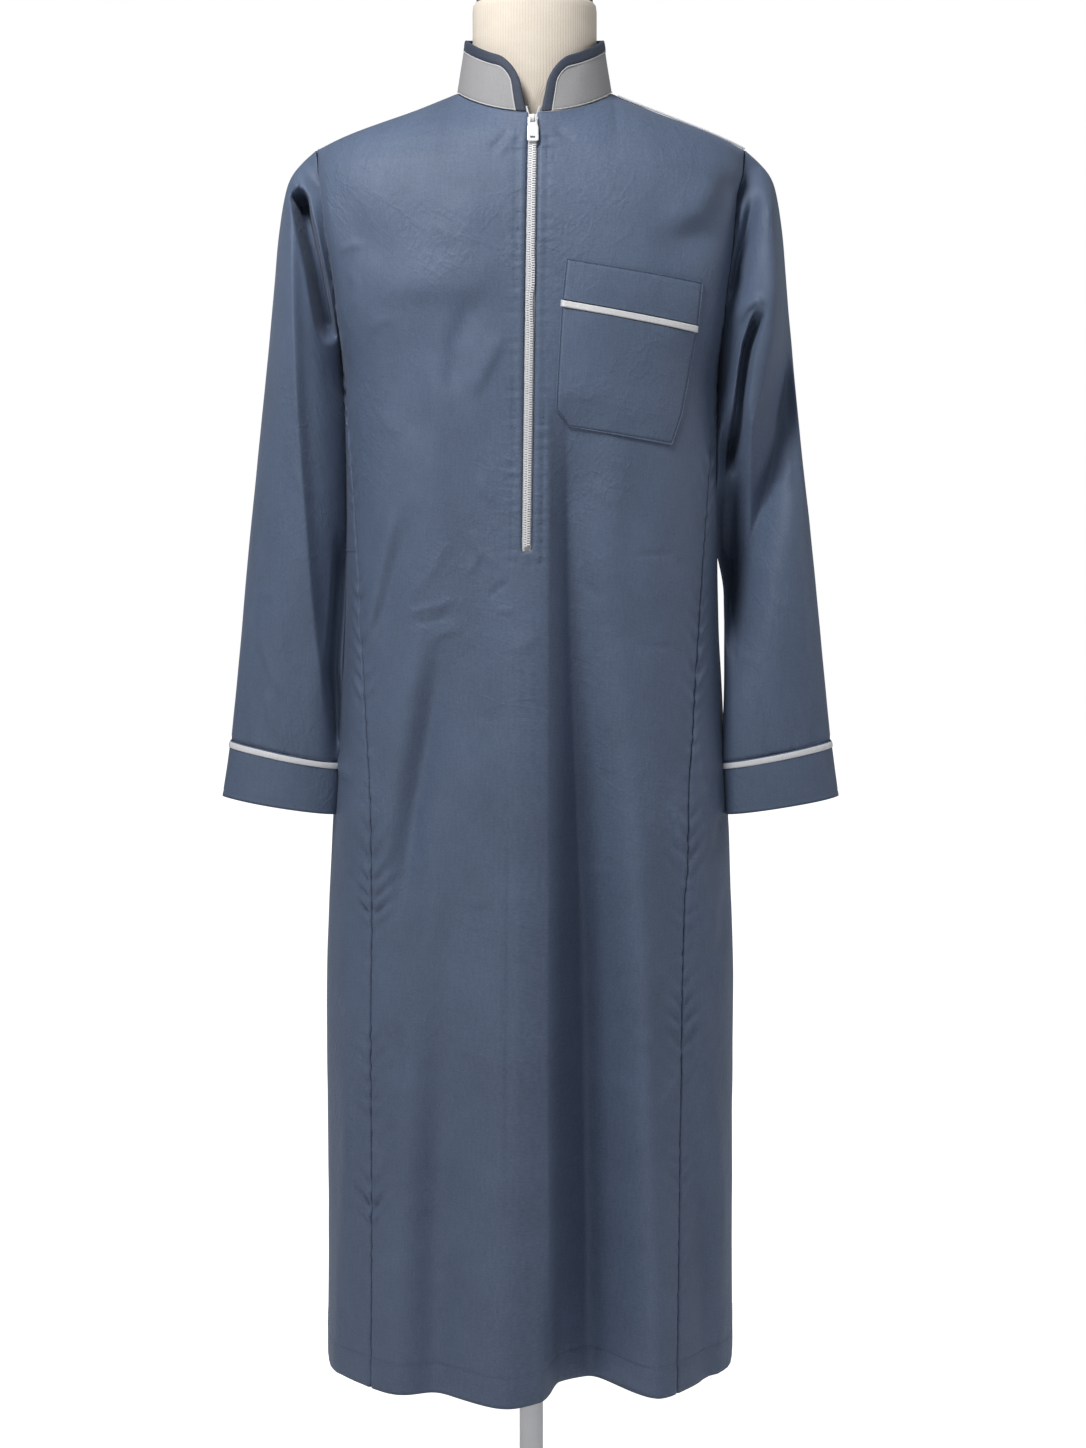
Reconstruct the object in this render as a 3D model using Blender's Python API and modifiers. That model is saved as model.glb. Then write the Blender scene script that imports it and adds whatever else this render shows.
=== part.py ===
"""Zip-front thobe, an ankle-length robe with a stand-up collar, worn on a limbless dress form.

Metres, +Z up. The robe faces -Y. The origin is the centre of the stand's underside, on the floor.
The cloth is a set of thin walls, one for each piece of the cut, read from one table of sections.
"""

import math
from collections import namedtuple

import bmesh
import bpy
from mathutils import Matrix, Vector

# Cloth and seams
WALL = 0.0014
SEAM = 0.0006
LIFT = 0.0003
PATCH_LIFT = 0.0013
ARMHOLE_SEAM = 0.0009
COLLAR_LIFT = 0.0008
FULLNESS = 2.6

# A piece's reach from the middle to its side: it turns a gap in metres into a share
HALF_GIRTH = 0.25

# Heights of the robe above the floor
HEM = 0.190
SLIT_TOP = 0.245
SLIT_GAP = 0.0035
HEM_CORNER = 0.030
ARMPIT = 1.200
SEAM_START = 1.285
SHOULDER_TIP = 1.442

# Neckline and shoulders
SHOULDER_HALF = 0.219
NECK_HALF = 0.0785
NECK_SIDE = 1.4995
NECK_FRONT = 0.078
NECK_FRONT_DROP = 0.030
NECK_BACK = 0.066
NECK_BACK_RISE = 0.010
NECK_SHIFT = 0.004
NECK_COLUMN = 0.20
RIDGE_GAP = 0.0018
SHOULDER_CROWN = 0.011

# One row for each level of the body, by the height of its side or armhole edge
Level = namedtuple("Level", "edge half_width edge_front edge_back front back front_rise back_rise")
LEVELS = (
    Level(0.190, 0.213, 0.000, 0.000, 0.150, 0.152, 0.000, 0.000),
    Level(0.350, 0.212, 0.000, 0.000, 0.147, 0.151, 0.000, 0.000),
    Level(0.565, 0.212, 0.000, 0.000, 0.143, 0.148, 0.000, 0.000),
    Level(0.745, 0.206, 0.000, 0.000, 0.138, 0.145, 0.000, 0.000),
    Level(0.881, 0.197, 0.000, 0.000, 0.133, 0.141, 0.000, 0.000),
    Level(0.985, 0.192, 0.000, 0.000, 0.129, 0.138, 0.000, 0.000),
    Level(1.088, 0.191, 0.000, 0.000, 0.127, 0.136, 0.000, 0.000),
    Level(1.200, 0.191, 0.000, 0.000, 0.125, 0.136, 0.000, 0.000),
    Level(1.285, 0.196, 0.046, 0.050, 0.121, 0.134, 0.004, 0.006),
    Level(1.355, 0.206, 0.052, 0.058, 0.110, 0.124, 0.013, 0.021),
    Level(1.410, 0.2135, 0.030, 0.036, 0.093, 0.099, 0.020, 0.042),
)

# The princess seams, by height: how far out each lies
PrincessStep = namedtuple("PrincessStep", "height left right")
PRINCESS = (
    PrincessStep(0.190, 0.161, 0.143),
    PrincessStep(0.450, 0.161, 0.150),
    PrincessStep(0.686, 0.161, 0.155),
    PrincessStep(0.947, 0.170, 0.168),
    PrincessStep(1.188, 0.186, 0.186),
)
PRINCESS_TOP = 0.985

# The largest folds, by the path of each down its piece, its width on either side and its fade at the ends.
# A ridge has a positive depth, a trough a negative one.
Fold = namedtuple("Fold", "piece top top_x foot foot_x bow left right depth fade")
FOLDS = (
    Fold("front", 1.030, -0.006, 0.150, -0.030, 0.000, 0.034, 0.028, 0.032, 0.22),
    Fold("front", 1.060, 0.013, 0.150, 0.035, 0.000, 0.014, 0.028, -0.050, 0.22),
    Fold("front", 0.860, 0.092, 0.150, 0.125, 0.000, 0.032, 0.032, 0.018, 0.22),
    Fold("front", 0.990, -0.068, 0.450, -0.140, -0.022, 0.022, 0.010, -0.016, 0.16),
    Fold("front", 0.700, -0.110, 0.150, -0.135, 0.000, 0.030, 0.030, 0.012, 0.22),
    Fold("front", 0.640, 0.157, 0.150, 0.190, 0.000, 0.014, 0.014, -0.010, 0.22),
    Fold("back", 1.140, -0.070, 0.150, -0.115, 0.000, 0.026, 0.026, -0.026, 0.22),
    Fold("back", 1.100, -0.030, 0.150, -0.045, 0.000, 0.030, 0.030, 0.022, 0.22),
    Fold("back", 1.160, 0.010, 0.150, 0.025, 0.000, 0.022, 0.022, -0.034, 0.22),
    Fold("back", 1.080, 0.060, 0.150, 0.085, 0.000, 0.032, 0.032, 0.024, 0.22),
    Fold("back", 1.120, 0.100, 0.150, 0.140, 0.000, 0.020, 0.020, -0.020, 0.22),
    Fold("left_front", 1.430, -0.240, 0.800, -0.203, -0.007, 0.030, 0.010, 0.009, 0.10),
    Fold("left_front", 1.410, -0.233, 1.130, -0.184, -0.001, 0.010, 0.011, -0.020, 0.05),
    Fold("left_back", 1.330, -0.230, 0.860, -0.240, 0.010, 0.016, 0.020, -0.012, 0.12),
    Fold("right_front", 1.425, 0.238, 1.070, 0.196, 0.022, 0.024, 0.010, 0.011, 0.08),
    Fold("right_front", 1.310, 0.228, 1.120, 0.206, 0.000, 0.010, 0.011, -0.018, 0.06),
    Fold("right_back", 1.340, 0.232, 0.880, 0.246, -0.008, 0.018, 0.016, -0.012, 0.12),
)

# A fold starts at this share of its depth
FOLD_START = 0.45

# The zip
ZIP_TOP_X = 0.0026
ZIP_FOOT_X = -0.0037
ZIP_TOP = 1.466
ZIP_FOOT = 1.040
SLOT = 0.009
TEETH = 0.0072
TAPE = 0.024
TAPE_REACH = 0.012
TAPE_WALL = 0.0010
TEETH_PROUD = 0.0003
TEETH_DEPTH = 0.0017
SLIDER_Z = 1.4585

# The zip's slider, its two ears and pin, and the pull tab with its neck, eye and slot
SLIDER_WIDTH = 0.0098
SLIDER_LENGTH = 0.0120
SLIDER_DEPTH = 0.0024
SLIDER_EDGE = 0.0006
EAR_WIDTH = 0.0012
EAR_LENGTH = 0.0044
EAR_DEPTH = 0.0030
EAR_GAP = 0.0052
PIN_RADIUS = 0.0008
PIN_UP = 0.0030
PIN_OUT = 0.0022
EYE_RADIUS = 0.0018
EYE_PLAY = 0.0010
PULL_LENGTH = 0.0190
PULL_WIDTH = 0.0105
PULL_DEPTH = 0.0012
PULL_TOP = 0.0034
PULL_CORNER = 0.0020
PULL_NECK_WIDTH = 0.0036
PULL_NECK_LENGTH = 0.0040
PULL_SLOT_WIDTH = 0.0060
PULL_SLOT_LENGTH = 0.0022
PULL_SLOT_DOWN = 0.0150

# Sleeve sections: the outer and inner ends of each, and its depth before and behind its middle
Sleeve = namedtuple("Sleeve", "outer_x outer_z inner_x inner_z middle_y front back")
SLEEVE = (
    Sleeve(0.2330, 1.4290, 0.1928, 1.1950, -0.001, 0.060, 0.066),
    Sleeve(0.2460, 1.4100, 0.1934, 1.1840, -0.002, 0.066, 0.072),
    Sleeve(0.2555, 1.3600, 0.1940, 1.1660, -0.004, 0.070, 0.076),
    Sleeve(0.2615, 1.2950, 0.1946, 1.1420, -0.007, 0.071, 0.077),
    Sleeve(0.2690, 1.2180, 0.1952, 1.1080, -0.011, 0.068, 0.074),
    Sleeve(0.2780, 1.1280, 0.1960, 1.0560, -0.017, 0.062, 0.066),
    Sleeve(0.2885, 1.0300, 0.1966, 0.9900, -0.025, 0.053, 0.056),
    Sleeve(0.2975, 0.9400, 0.1972, 0.9140, -0.034, 0.041, 0.043),
    Sleeve(0.3070, 0.8440, 0.1990, 0.8210, -0.044, 0.028, 0.030),
)
CUFF_FOOT = Sleeve(0.3152, 0.7870, 0.2025, 0.7680, -0.048, 0.027, 0.029)
LEAN_REACH = 0.5
FACING_FADE = 0.45
SEAM_FADE = 0.07
PIPING = 0.0072
PIPING_DOWN = 0.0017
PIPING_WALL = 0.0010
PIPING_PROUD = 0.0011

# The shoulder pipings: the cloth that each lies on, and how far up the shoulder it is at either end
ShoulderRun = namedtuple("ShoulderRun", "side piece collar armhole")
SHOULDER_PIPING = 0.0024
SHOULDER_RUNS = (
    ShoulderRun(-1, "back", 0.90, 0.82),
    ShoulderRun(1, "front", 0.94, 0.80),
)

# How far each sleeve leans in towards the body's side, by height, before and behind its middle
Lean = namedtuple("Lean", "height left_front left_back right_front right_back")
LEANS = (
    Lean(0.750, 0.000, 0.004, 0.000, 0.000),
    Lean(0.820, -0.002, 0.008, 0.000, 0.000),
    Lean(0.915, -0.013, 0.013, 0.000, 0.000),
    Lean(1.000, -0.006, 0.015, 0.000, 0.000),
    Lean(1.060, 0.003, 0.015, 0.006, 0.004),
    Lean(1.120, 0.006, 0.013, 0.009, 0.011),
    Lean(1.200, 0.003, 0.006, 0.005, 0.006),
    Lean(1.260, 0.000, 0.000, 0.000, 0.000),
)

# Collar, as a flat pattern: length along the neckline and height above it
COLLAR_HEIGHT = 0.052
COLLAR_LEAN = 0.0085
COLLAR_GAP_LEFT = 0.0085
COLLAR_GAP_RIGHT = 0.0070
COLLAR_SPREAD = 0.012
COLLAR_CORNER = 0.026
BINDING = 0.0100

# Pocket edges, by the place of their ends on the front
POCKET_WALL = 0.0012
POCKET_PIPING_WALL = 0.0022
PocketRow = namedtuple("PocketRow", "left_x left_z right_x right_z")
POCKET_BAND = (
    PocketRow(0.0349, 1.3237, 0.1700, 1.3021),
    PocketRow(0.0305, 1.2835, 0.1660, 1.2602),
)
POCKET_PIPING = (
    PocketRow(0.0299, 1.2832, 0.1662, 1.2599),
    PocketRow(0.0293, 1.2757, 0.1655, 1.2524),
)
POCKET_BAG = (
    PocketRow(0.0300, 1.2754, 0.1650, 1.2521),
    PocketRow(0.0245, 1.1770, 0.1505, 1.1730),
    PocketRow(0.0380, 1.1600, 0.1395, 1.1415),
)

# Dress form and stand
FORM_LIFT = 0.0008
NECK_RADIUS = 0.063
NECK_TOP = 1.589
FORM_FOOT = 0.760
POLE_RADIUS = 0.0125
BASE_RADIUS = 0.170
BASE_HEIGHT = 0.012
FormRow = namedtuple("FormRow", "height half_width front back")
FORM = (
    FormRow(0.760, 0.128, 0.078, 0.085),
    FormRow(0.772, 0.150, 0.093, 0.101),
    FormRow(0.810, 0.163, 0.102, 0.111),
    FormRow(0.900, 0.170, 0.106, 0.116),
    FormRow(1.000, 0.160, 0.099, 0.106),
    FormRow(1.080, 0.156, 0.098, 0.102),
    FormRow(1.200, 0.170, 0.108, 0.114),
    FormRow(1.300, 0.180, 0.104, 0.118),
    FormRow(1.370, 0.188, 0.090, 0.106),
    FormRow(1.410, 0.196, 0.056, 0.070),
)
FormShoulder = namedtuple("FormShoulder", "out front back fullness")
FORM_SHOULDER = (
    FormShoulder(0.184, 0.040, 0.050, 1.6),
    FormShoulder(0.150, 0.048, 0.056, 1.4),
    FormShoulder(0.115, 0.046, 0.050, 1.15),
    FormShoulder(0.080, 0.040, 0.044, 1.2),
)
FORM_FULLNESS = 2.2

# The form's neck, by height above its shoulders, and the cap, by height above the neck
NeckRow = namedtuple("NeckRow", "up half_width front back")
NECK = (
    NeckRow(0.004, 0.0690, 0.047, 0.042),
    NeckRow(0.014, 0.0650, 0.053, 0.048),
    NeckRow(0.045, NECK_RADIUS, 0.055, 0.050),
)
NECK_EDGE = 0.003
CAP = (
    NeckRow(0.000, 0.0590, 0.052, 0.048),
    NeckRow(0.004, 0.0590, 0.052, 0.048),
    NeckRow(0.007, 0.0560, 0.049, 0.045),
    NeckRow(0.008, 0.0480, 0.042, 0.038),
)

# Colours, as linear values: base colour, roughness, metallic
FINISHES = {
    "slate_cloth": ((0.125, 0.155, 0.225), 0.72, 0.0),
    "grey_collar": ((0.50, 0.50, 0.55), 0.75, 0.0),
    "navy_binding": ((0.055, 0.072, 0.115), 0.75, 0.0),
    "white_piping": ((0.72, 0.72, 0.74), 0.55, 0.0),
    "white_zip": ((0.78, 0.78, 0.79), 0.45, 0.0),
    "linen": ((0.74, 0.66, 0.52), 0.85, 0.0),
    "neck_cap": ((0.10, 0.10, 0.11), 0.40, 0.0),
    "white_stand": ((0.80, 0.80, 0.80), 0.35, 0.0),
}


def finish(name):
    """The material of this name, made the first time that it is asked for."""
    if name in bpy.data.materials:
        return bpy.data.materials[name]
    colour, roughness, metallic = FINISHES[name]
    material = bpy.data.materials.new(name)
    material.use_nodes = True
    shader = material.node_tree.nodes["Principled BSDF"]
    shader.inputs["Base Color"].default_value = (*colour, 1.0)
    shader.inputs["Roughness"].default_value = roughness
    shader.inputs["Metallic"].default_value = metallic
    return material


def place(mesh_or_bmesh, name, material, parts):
    """A new object of this name in the collection of parts."""
    if isinstance(mesh_or_bmesh, bmesh.types.BMesh):
        mesh = bpy.data.meshes.new(name)
        mesh_or_bmesh.to_mesh(mesh)
        mesh_or_bmesh.free()
    else:
        mesh = mesh_or_bmesh
    mesh.materials.append(finish(material))
    mesh.shade_smooth()
    mesh.set_sharp_from_angle(angle=math.radians(50))
    made = bpy.data.objects.new(name, mesh)
    parts.objects.link(made)
    return made


def thicken(made, thickness):
    """Gives an open sheet its wall, on the inner side of its faces."""
    wall = made.modifiers.new("wall", "SOLIDIFY")
    wall.thickness = thickness
    wall.offset = -1
    wall.use_even_offset = False
    return made


def sheet(columns, rows, point, closed=False, skip=None):
    """A grid whose points a function gives by column and row; closed joins its last column to its first."""
    made = bmesh.new()
    bmesh.ops.create_grid(made, x_segments=columns, y_segments=rows, size=1.0)
    dropped = []
    for face in made.faces:
        middle = face.calc_center_median()
        if skip and skip(int((middle.x + 1) / 2 * columns), int((middle.y + 1) / 2 * rows)):
            dropped.append(face)
    bmesh.ops.delete(made, geom=dropped, context="FACES")
    for vertex in made.verts:
        column = round((vertex.co.x + 1) / 2 * columns)
        row = round((vertex.co.y + 1) / 2 * rows)
        vertex.co = point(column, row)
    if closed:
        bmesh.ops.remove_doubles(made, verts=made.verts, dist=0.00001)
    return made


def face_out(made, centre):
    """Turns the faces of an open sheet so that they point away from a point."""
    bmesh.ops.recalc_face_normals(made, faces=made.faces)
    outward = 0.0
    for face in made.faces:
        outward += face.normal.dot(face.calc_center_median() - centre(face)) * face.calc_area()
    if outward < 0:
        bmesh.ops.reverse_faces(made, faces=made.faces)


def shared_slope(before, after):
    """Slope where two stretches of a table meet, level at a peak, so that the reading never overshoots."""
    return 2 * before * after / (before + after) if before * after > 0 else 0.0


def glide(knots, values, at):
    """Smooth reading of a table between its rows."""
    last = len(knots) - 1
    if at <= knots[0]:
        return values[0]
    if at >= knots[last]:
        return values[last]
    i = max(k for k in range(last) if knots[k] <= at)
    before = max(i - 1, 0)
    after = min(i + 2, last)
    span = knots[i + 1] - knots[i]
    rise = (values[i + 1] - values[i]) / span
    rise_before = (values[i] - values[before]) / (knots[i] - knots[before]) if i > before else rise
    rise_after = (values[after] - values[i + 1]) / (knots[after] - knots[i + 1]) if after > i + 1 else rise
    slope_in = shared_slope(rise_before, rise)
    slope_out = shared_slope(rise, rise_after)
    t = (at - knots[i]) / span
    return (
        values[i] * (1 + 2 * t) * (1 - t) ** 2
        + slope_in * span * t * (1 - t) ** 2
        + values[i + 1] * t * t * (3 - 2 * t)
        + slope_out * span * t * t * (t - 1)
    )


def ease(low, high, at):
    """0 below low, 1 above high, smooth between."""
    t = min(max((at - low) / (high - low), 0.0), 1.0)
    return t * t * (3 - 2 * t)


def shoulder_height(out):
    """Height of the shoulder seam at a distance out from the middle."""
    share = (SHOULDER_HALF - out) / (SHOULDER_HALF - NECK_HALF)
    return SHOULDER_TIP + (NECK_SIDE - SHOULDER_TIP) * share


def neckline(turn):
    """Point of the neckline: turn is 0 at the front's middle, 1 at the shoulder, 2 at the back's middle."""
    angle = turn * math.pi / 2
    front = max(math.cos(angle), 0.0)
    behind = max(-math.cos(angle), 0.0)
    x = NECK_SHIFT + NECK_HALF * math.sin(angle)
    y = -NECK_FRONT * front + NECK_BACK * behind
    z = NECK_SIDE - NECK_FRONT_DROP * front**1.4 + NECK_BACK_RISE * behind
    return Vector((x, y, z))


def level_point(level, face, across):
    """Point of one section of the body: across is 0 in the middle and 1 or -1 at the side."""
    angle = abs(across) * math.pi / 2
    out = math.sin(angle) ** (2 / FULLNESS)
    depth = max(math.cos(angle), 0.0) ** (2 / FULLNESS)
    edge = -level.edge_front if face == "front" else level.edge_back
    middle = -level.front if face == "front" else level.back
    rise = level.front_rise if face == "front" else level.back_rise
    x = math.copysign(level.half_width * out, across)
    return Vector((x, edge + (middle - edge) * depth, level.edge + rise * depth))


def top_point(face, across):
    """Point of the body's top edge: the neckline, then the shoulder seam."""
    if abs(across) <= NECK_COLUMN:
        turn = abs(across) / NECK_COLUMN
        point = neckline(turn if face == "front" else 2 - turn)
        y = min(point.y, -RIDGE_GAP / 2) if face == "front" else max(point.y, RIDGE_GAP / 2)
        return Vector((NECK_SHIFT + math.copysign(point.x - NECK_SHIFT, across), y, point.z))
    share = (abs(across) - NECK_COLUMN) / (1 - NECK_COLUMN)
    out = NECK_HALF + (SHOULDER_HALF - NECK_HALF) * share
    x = math.copysign(out, across) + NECK_SHIFT * (1 - share)
    half_gap = RIDGE_GAP / 2 * (-1 if face == "front" else 1)
    return Vector((x, half_gap, shoulder_height(out)))


def fold_offset(piece, x, z):
    """How far the folds of a piece push its cloth out at a place."""
    total = 0.0
    for fold in FOLDS:
        if fold.piece != piece or z > fold.top:
            continue
        share = min((fold.top - z) / (fold.top - fold.foot), 1.0)
        path = fold.top_x + (fold.foot_x - fold.top_x) * share + fold.bow * math.sin(math.pi * share)
        strength = ease(0.0, fold.fade, fold.top - z) * (FOLD_START + (1 - FOLD_START) * share)
        if fold.foot > HEM:
            strength *= ease(fold.foot, fold.foot + fold.fade, z)
        width = fold.right if x > path else fold.left
        total += fold.depth * strength * math.exp(-(((x - path) / width) ** 2))
    return total


def cloth(face, across, height):
    """Outer point of the body cloth: height is that of the level's side or armhole edge."""
    knots = [level.edge for level in LEVELS] + [SHOULDER_TIP]
    near = min(range(len(knots)), key=lambda k: abs(knots[k] - height))
    first = max(near - 2, 0)
    chosen = range(first, min(near + 3, len(knots)))
    points = [level_point(LEVELS[k], face, across) for k in chosen if k < len(LEVELS)]
    if len(points) < len(chosen):
        points.append(top_point(face, across))
    read = [knots[k] for k in chosen]
    point = Vector([glide(read, [p[axis] for p in points], height) for axis in range(3)])
    over = (height - LEVELS[-1].edge) / (SHOULDER_TIP - LEVELS[-1].edge)
    if over > 0:
        crown = SHOULDER_CROWN * math.sin(math.pi * over) * ease(0.0, NECK_COLUMN * 1.3, abs(across))
        point += Vector((0.0, -0.6 if face == "front" else 0.6, 0.8)) * crown
    push = fold_offset(face, point.x, point.z)
    if push:
        outward = Vector((point.x * 0.35, point.y, 0.0)).normalized()
        point += outward * push
    return point


def find(face, x, z):
    """The (across, height) of the cloth at a place seen from the front or the back."""
    across = 0.9 * x / SHOULDER_HALF
    height = min(z, SHOULDER_TIP)
    for _ in range(30):
        point = cloth(face, across, height)
        wider = cloth(face, min(across + 0.01, 1.0), height)
        across += (x - point.x) * 0.01 / max(wider.x - point.x, 0.0004)
        across = min(max(across, -1.0), 1.0)
        height = min(max(height + (z - point.z) * 0.8, HEM), SHOULDER_TIP)
    return across, height


def normal(face, across, height):
    """Outward direction of the cloth."""
    step = 0.004
    wide = cloth(face, min(across + step, 1.0), height) - cloth(face, max(across - step, -1.0), height)
    above = cloth(face, across, min(height + step, SHOULDER_TIP))
    tall = above - cloth(face, across, max(height - step, HEM))
    out = wide.cross(tall).normalized()
    return out if (out.y < 0) == (face == "front") else -out


def on_cloth(face, x, z, lift):
    """A point at a place on the cloth, moved out from it."""
    across, height = find(face, x, z)
    return cloth(face, across, height) + normal(face, across, height) * lift


def zip_x(z):
    share = (ZIP_TOP - z) / (ZIP_TOP - ZIP_FOOT)
    return ZIP_TOP_X + (ZIP_FOOT_X - ZIP_TOP_X) * min(max(share, 0.0), 1.3)


def princess(side, height):
    """Across value of a princess seam at a height; above its start it is the armhole edge."""
    if height > SEAM_START + 0.001:
        return 1.0
    out = glide(
        [step.height for step in PRINCESS],
        [step.left if side < 0 else step.right for step in PRINCESS],
        height,
    )
    half = glide([level.edge for level in LEVELS], [level.half_width for level in LEVELS], height)
    along = 2 / math.pi * math.asin(min(out / half, 1.0) ** (FULLNESS / 2))
    return along + (PRINCESS_TOP - along) * ease(ARMPIT - 0.06, SEAM_START, height)


def side_edge(height, gap):
    """Across value of the side seam, which opens in a slit above the hem."""
    slit = SLIT_GAP * (1 - ease(HEM, SLIT_TOP, height))
    return 1.0 - (gap + slit) / HALF_GIRTH


def levels_between(low, high, count):
    return [low + (high - low) * k / count for k in range(count + 1)]


def body_levels():
    """Heights of the rows of the body panels."""
    slot_foot = ZIP_FOOT - 0.002
    skirt = levels_between(HEM, 0.95, 11)
    waist = levels_between(0.95, slot_foot, 2)[1:]
    chest = levels_between(slot_foot, ARMPIT, 3)[1:]
    armhole = levels_between(ARMPIT, SEAM_START, 2)[1:]
    yoke = levels_between(SEAM_START, LEVELS[-1].edge, 3)[1:]
    shoulder = levels_between(LEVELS[-1].edge, SHOULDER_TIP, 5)[1:]
    return skirt + waist + chest + armhole + yoke + shoulder


def hem_rise(across):
    """How far the rounded corner of the front hem lifts the edge near the side slit."""
    share = ease(0.80, 1.0, abs(across))
    return HEM_CORNER * share * share


def front_panel(parts):
    rows = body_levels()
    inner, outer = 5, 8
    half = inner + outer
    columns = 2 * half + 1

    def across_of(column, height):
        side = -1 if column <= half else 1
        step = half - column if side < 0 else column - half - 1
        slot_edge = slot_across(side, height)
        edge = 1.0 if height > SEAM_START else princess(side, height) - SEAM / 2 / HALF_GIRTH
        if step <= inner:
            return side * (slot_edge + (NECK_COLUMN - slot_edge) * step / inner)
        return side * (NECK_COLUMN + (edge - NECK_COLUMN) * (step - inner) / outer)

    def slot_across(side, height):
        low, high = 0.0, 0.1
        for _ in range(24):
            middle = (low + high) / 2
            point = cloth("front", side * middle, height)
            if side * (point.x - zip_x(point.z)) < SLOT / 2:
                low = middle
            else:
                high = middle
        return low

    def point(column, row):
        across = across_of(column, rows[row])
        lifted = rows[row] + hem_rise(across) * (1 - ease(HEM, HEM + 0.09, rows[row]))
        return cloth("front", across, lifted)

    def in_slot(column, row):
        return column == half and rows[row] >= ZIP_FOOT - 0.003

    made = sheet(columns, len(rows) - 1, point, skip=in_slot)
    face_out(made, lambda face: Vector((0, 0.02, face.calc_center_median().z - 0.01)))
    return thicken(place(made, "front_panel", "slate_cloth", parts), WALL)


def side_front(name, side, parts):
    rows = [height for height in body_levels() if height <= SEAM_START + 0.001]
    columns = 5

    def point(column, row):
        height = rows[row]
        near = princess(side, height) + SEAM / 2 / HALF_GIRTH
        far = 1.0 if height > ARMPIT else side_edge(height, SEAM / 2)
        near = min(near, far - 0.006)
        across = near + (far - near) * column / columns
        lifted = height + hem_rise(across) * (1 - ease(HEM, HEM + 0.09, height))
        return cloth("front", side * across, lifted)

    made = sheet(columns, len(rows) - 1, point)
    face_out(made, lambda face: Vector((0, 0.02, face.calc_center_median().z)))
    return thicken(place(made, name, "slate_cloth", parts), WALL)


def back_panel(parts):
    rows = body_levels()
    inner, outer = 4, 8
    half = inner + outer

    def point(column, row):
        height = rows[row]
        side = -1 if column < half else 1
        step = abs(column - half)
        edge = 1.0 if height > ARMPIT else side_edge(height, SEAM / 2)
        if step <= inner:
            across = NECK_COLUMN * step / inner
        else:
            across = NECK_COLUMN + (edge - NECK_COLUMN) * (step - inner) / outer
        return cloth("back", side * across, height)

    made = sheet(2 * half, len(rows) - 1, point)
    face_out(made, lambda face: Vector((0, -0.02, face.calc_center_median().z - 0.01)))
    return thicken(place(made, "back_panel", "slate_cloth", parts), WALL)


def armhole(turn):
    """Point of the +X armhole: turn is 0 at the shoulder, 0.5 at the armpit, and runs round by the front."""
    face = "front" if turn <= 0.5 else "back"
    share = 1 - 2 * turn if turn <= 0.5 else 2 * turn - 1
    return cloth(face, 1.0, ARMPIT + (SHOULDER_TIP - ARMPIT) * share)


def lean(side, height, facing):
    """How far a sleeve's inner half leans towards the body; facing is 1 before its middle, -1 behind it."""
    label = ("left" if side < 0 else "right") + ("_front" if facing > 0 else "_back")
    return glide([row.height for row in LEANS], [getattr(row, label) for row in LEANS], height) * facing**2


def sleeve_section(section, turn, side, ease_out=0.0):
    """Point of a sleeve section, as on the +X side: turn is 0 outward, 0.25 forward, 0.5 inward."""
    angle = turn * 2 * math.pi
    outer = Vector((section.outer_x + ease_out, section.middle_y, section.outer_z))
    inner = Vector((section.inner_x - ease_out, section.middle_y, section.inner_z))
    depth = (section.front if math.sin(angle) > 0 else section.back) + ease_out
    point = (outer + inner) / 2 + (outer - inner) / 2 * math.cos(angle)
    point.y -= depth * math.sin(angle)
    point.x -= lean(side, point.z, math.sin(angle)) * ease(-LEAN_REACH, LEAN_REACH, -math.cos(angle))
    return point


def sleeve_point(turn, along, side):
    """Outer point of a sleeve, as on the +X side: along is 0 at the armhole and 1 at the cuff seam."""
    steps = len(SLEEVE)
    knots = [k / steps for k in range(steps + 1)]
    near = min(range(steps + 1), key=lambda k: abs(knots[k] - along))
    chosen = range(max(near - 2, 0), min(near + 3, steps + 1))
    seam = armhole(turn) + Vector((ARMHOLE_SEAM, 0, 0))
    points = [seam if k == 0 else sleeve_section(SLEEVE[k - 1], turn, side) for k in chosen]
    read = [knots[k] for k in chosen]
    point = Vector([glide(read, [p[axis] for p in points], along) for axis in range(3)])
    facing = math.sin(turn * 2 * math.pi)
    label = ("left" if side < 0 else "right") + ("_front" if facing > 0 else "_back")
    push = fold_offset(label, point.x * side, point.z)
    push *= ease(0.0, FACING_FADE, abs(facing)) * ease(0.0, SEAM_FADE, along)
    middle = SLEEVE[min(max(chosen[0], 1), steps) - 1]
    core_x = (middle.outer_x + middle.inner_x) / 2
    return point + Vector((point.x - core_x, point.y - middle.middle_y, 0)).normalized() * push


def mirrored(point, side):
    return Vector((point.x * side, point.y, point.z))


def tube_core(face):
    """A point on the sleeve's middle line at a face's height."""
    middle = face.calc_center_median()
    knots = [-(section.outer_z + section.inner_z) / 2 for section in SLEEVE + (CUFF_FOOT,)]
    across = [(section.outer_x + section.inner_x) / 2 for section in SLEEVE + (CUFF_FOOT,)]
    deep = [section.middle_y for section in SLEEVE + (CUFF_FOOT,)]
    x = math.copysign(glide(knots, across, -middle.z), middle.x)
    return Vector((x, glide(knots, deep, -middle.z), min(middle.z, 1.33)))


def sleeve(name, side, parts):
    columns, rows = 26, 23

    def point(column, row):
        return mirrored(sleeve_point((column % columns) / columns, row / rows, side), side)

    made = sheet(columns, rows, point, closed=True)
    face_out(made, tube_core)
    return thicken(place(made, name, "slate_cloth", parts), WALL)


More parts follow.
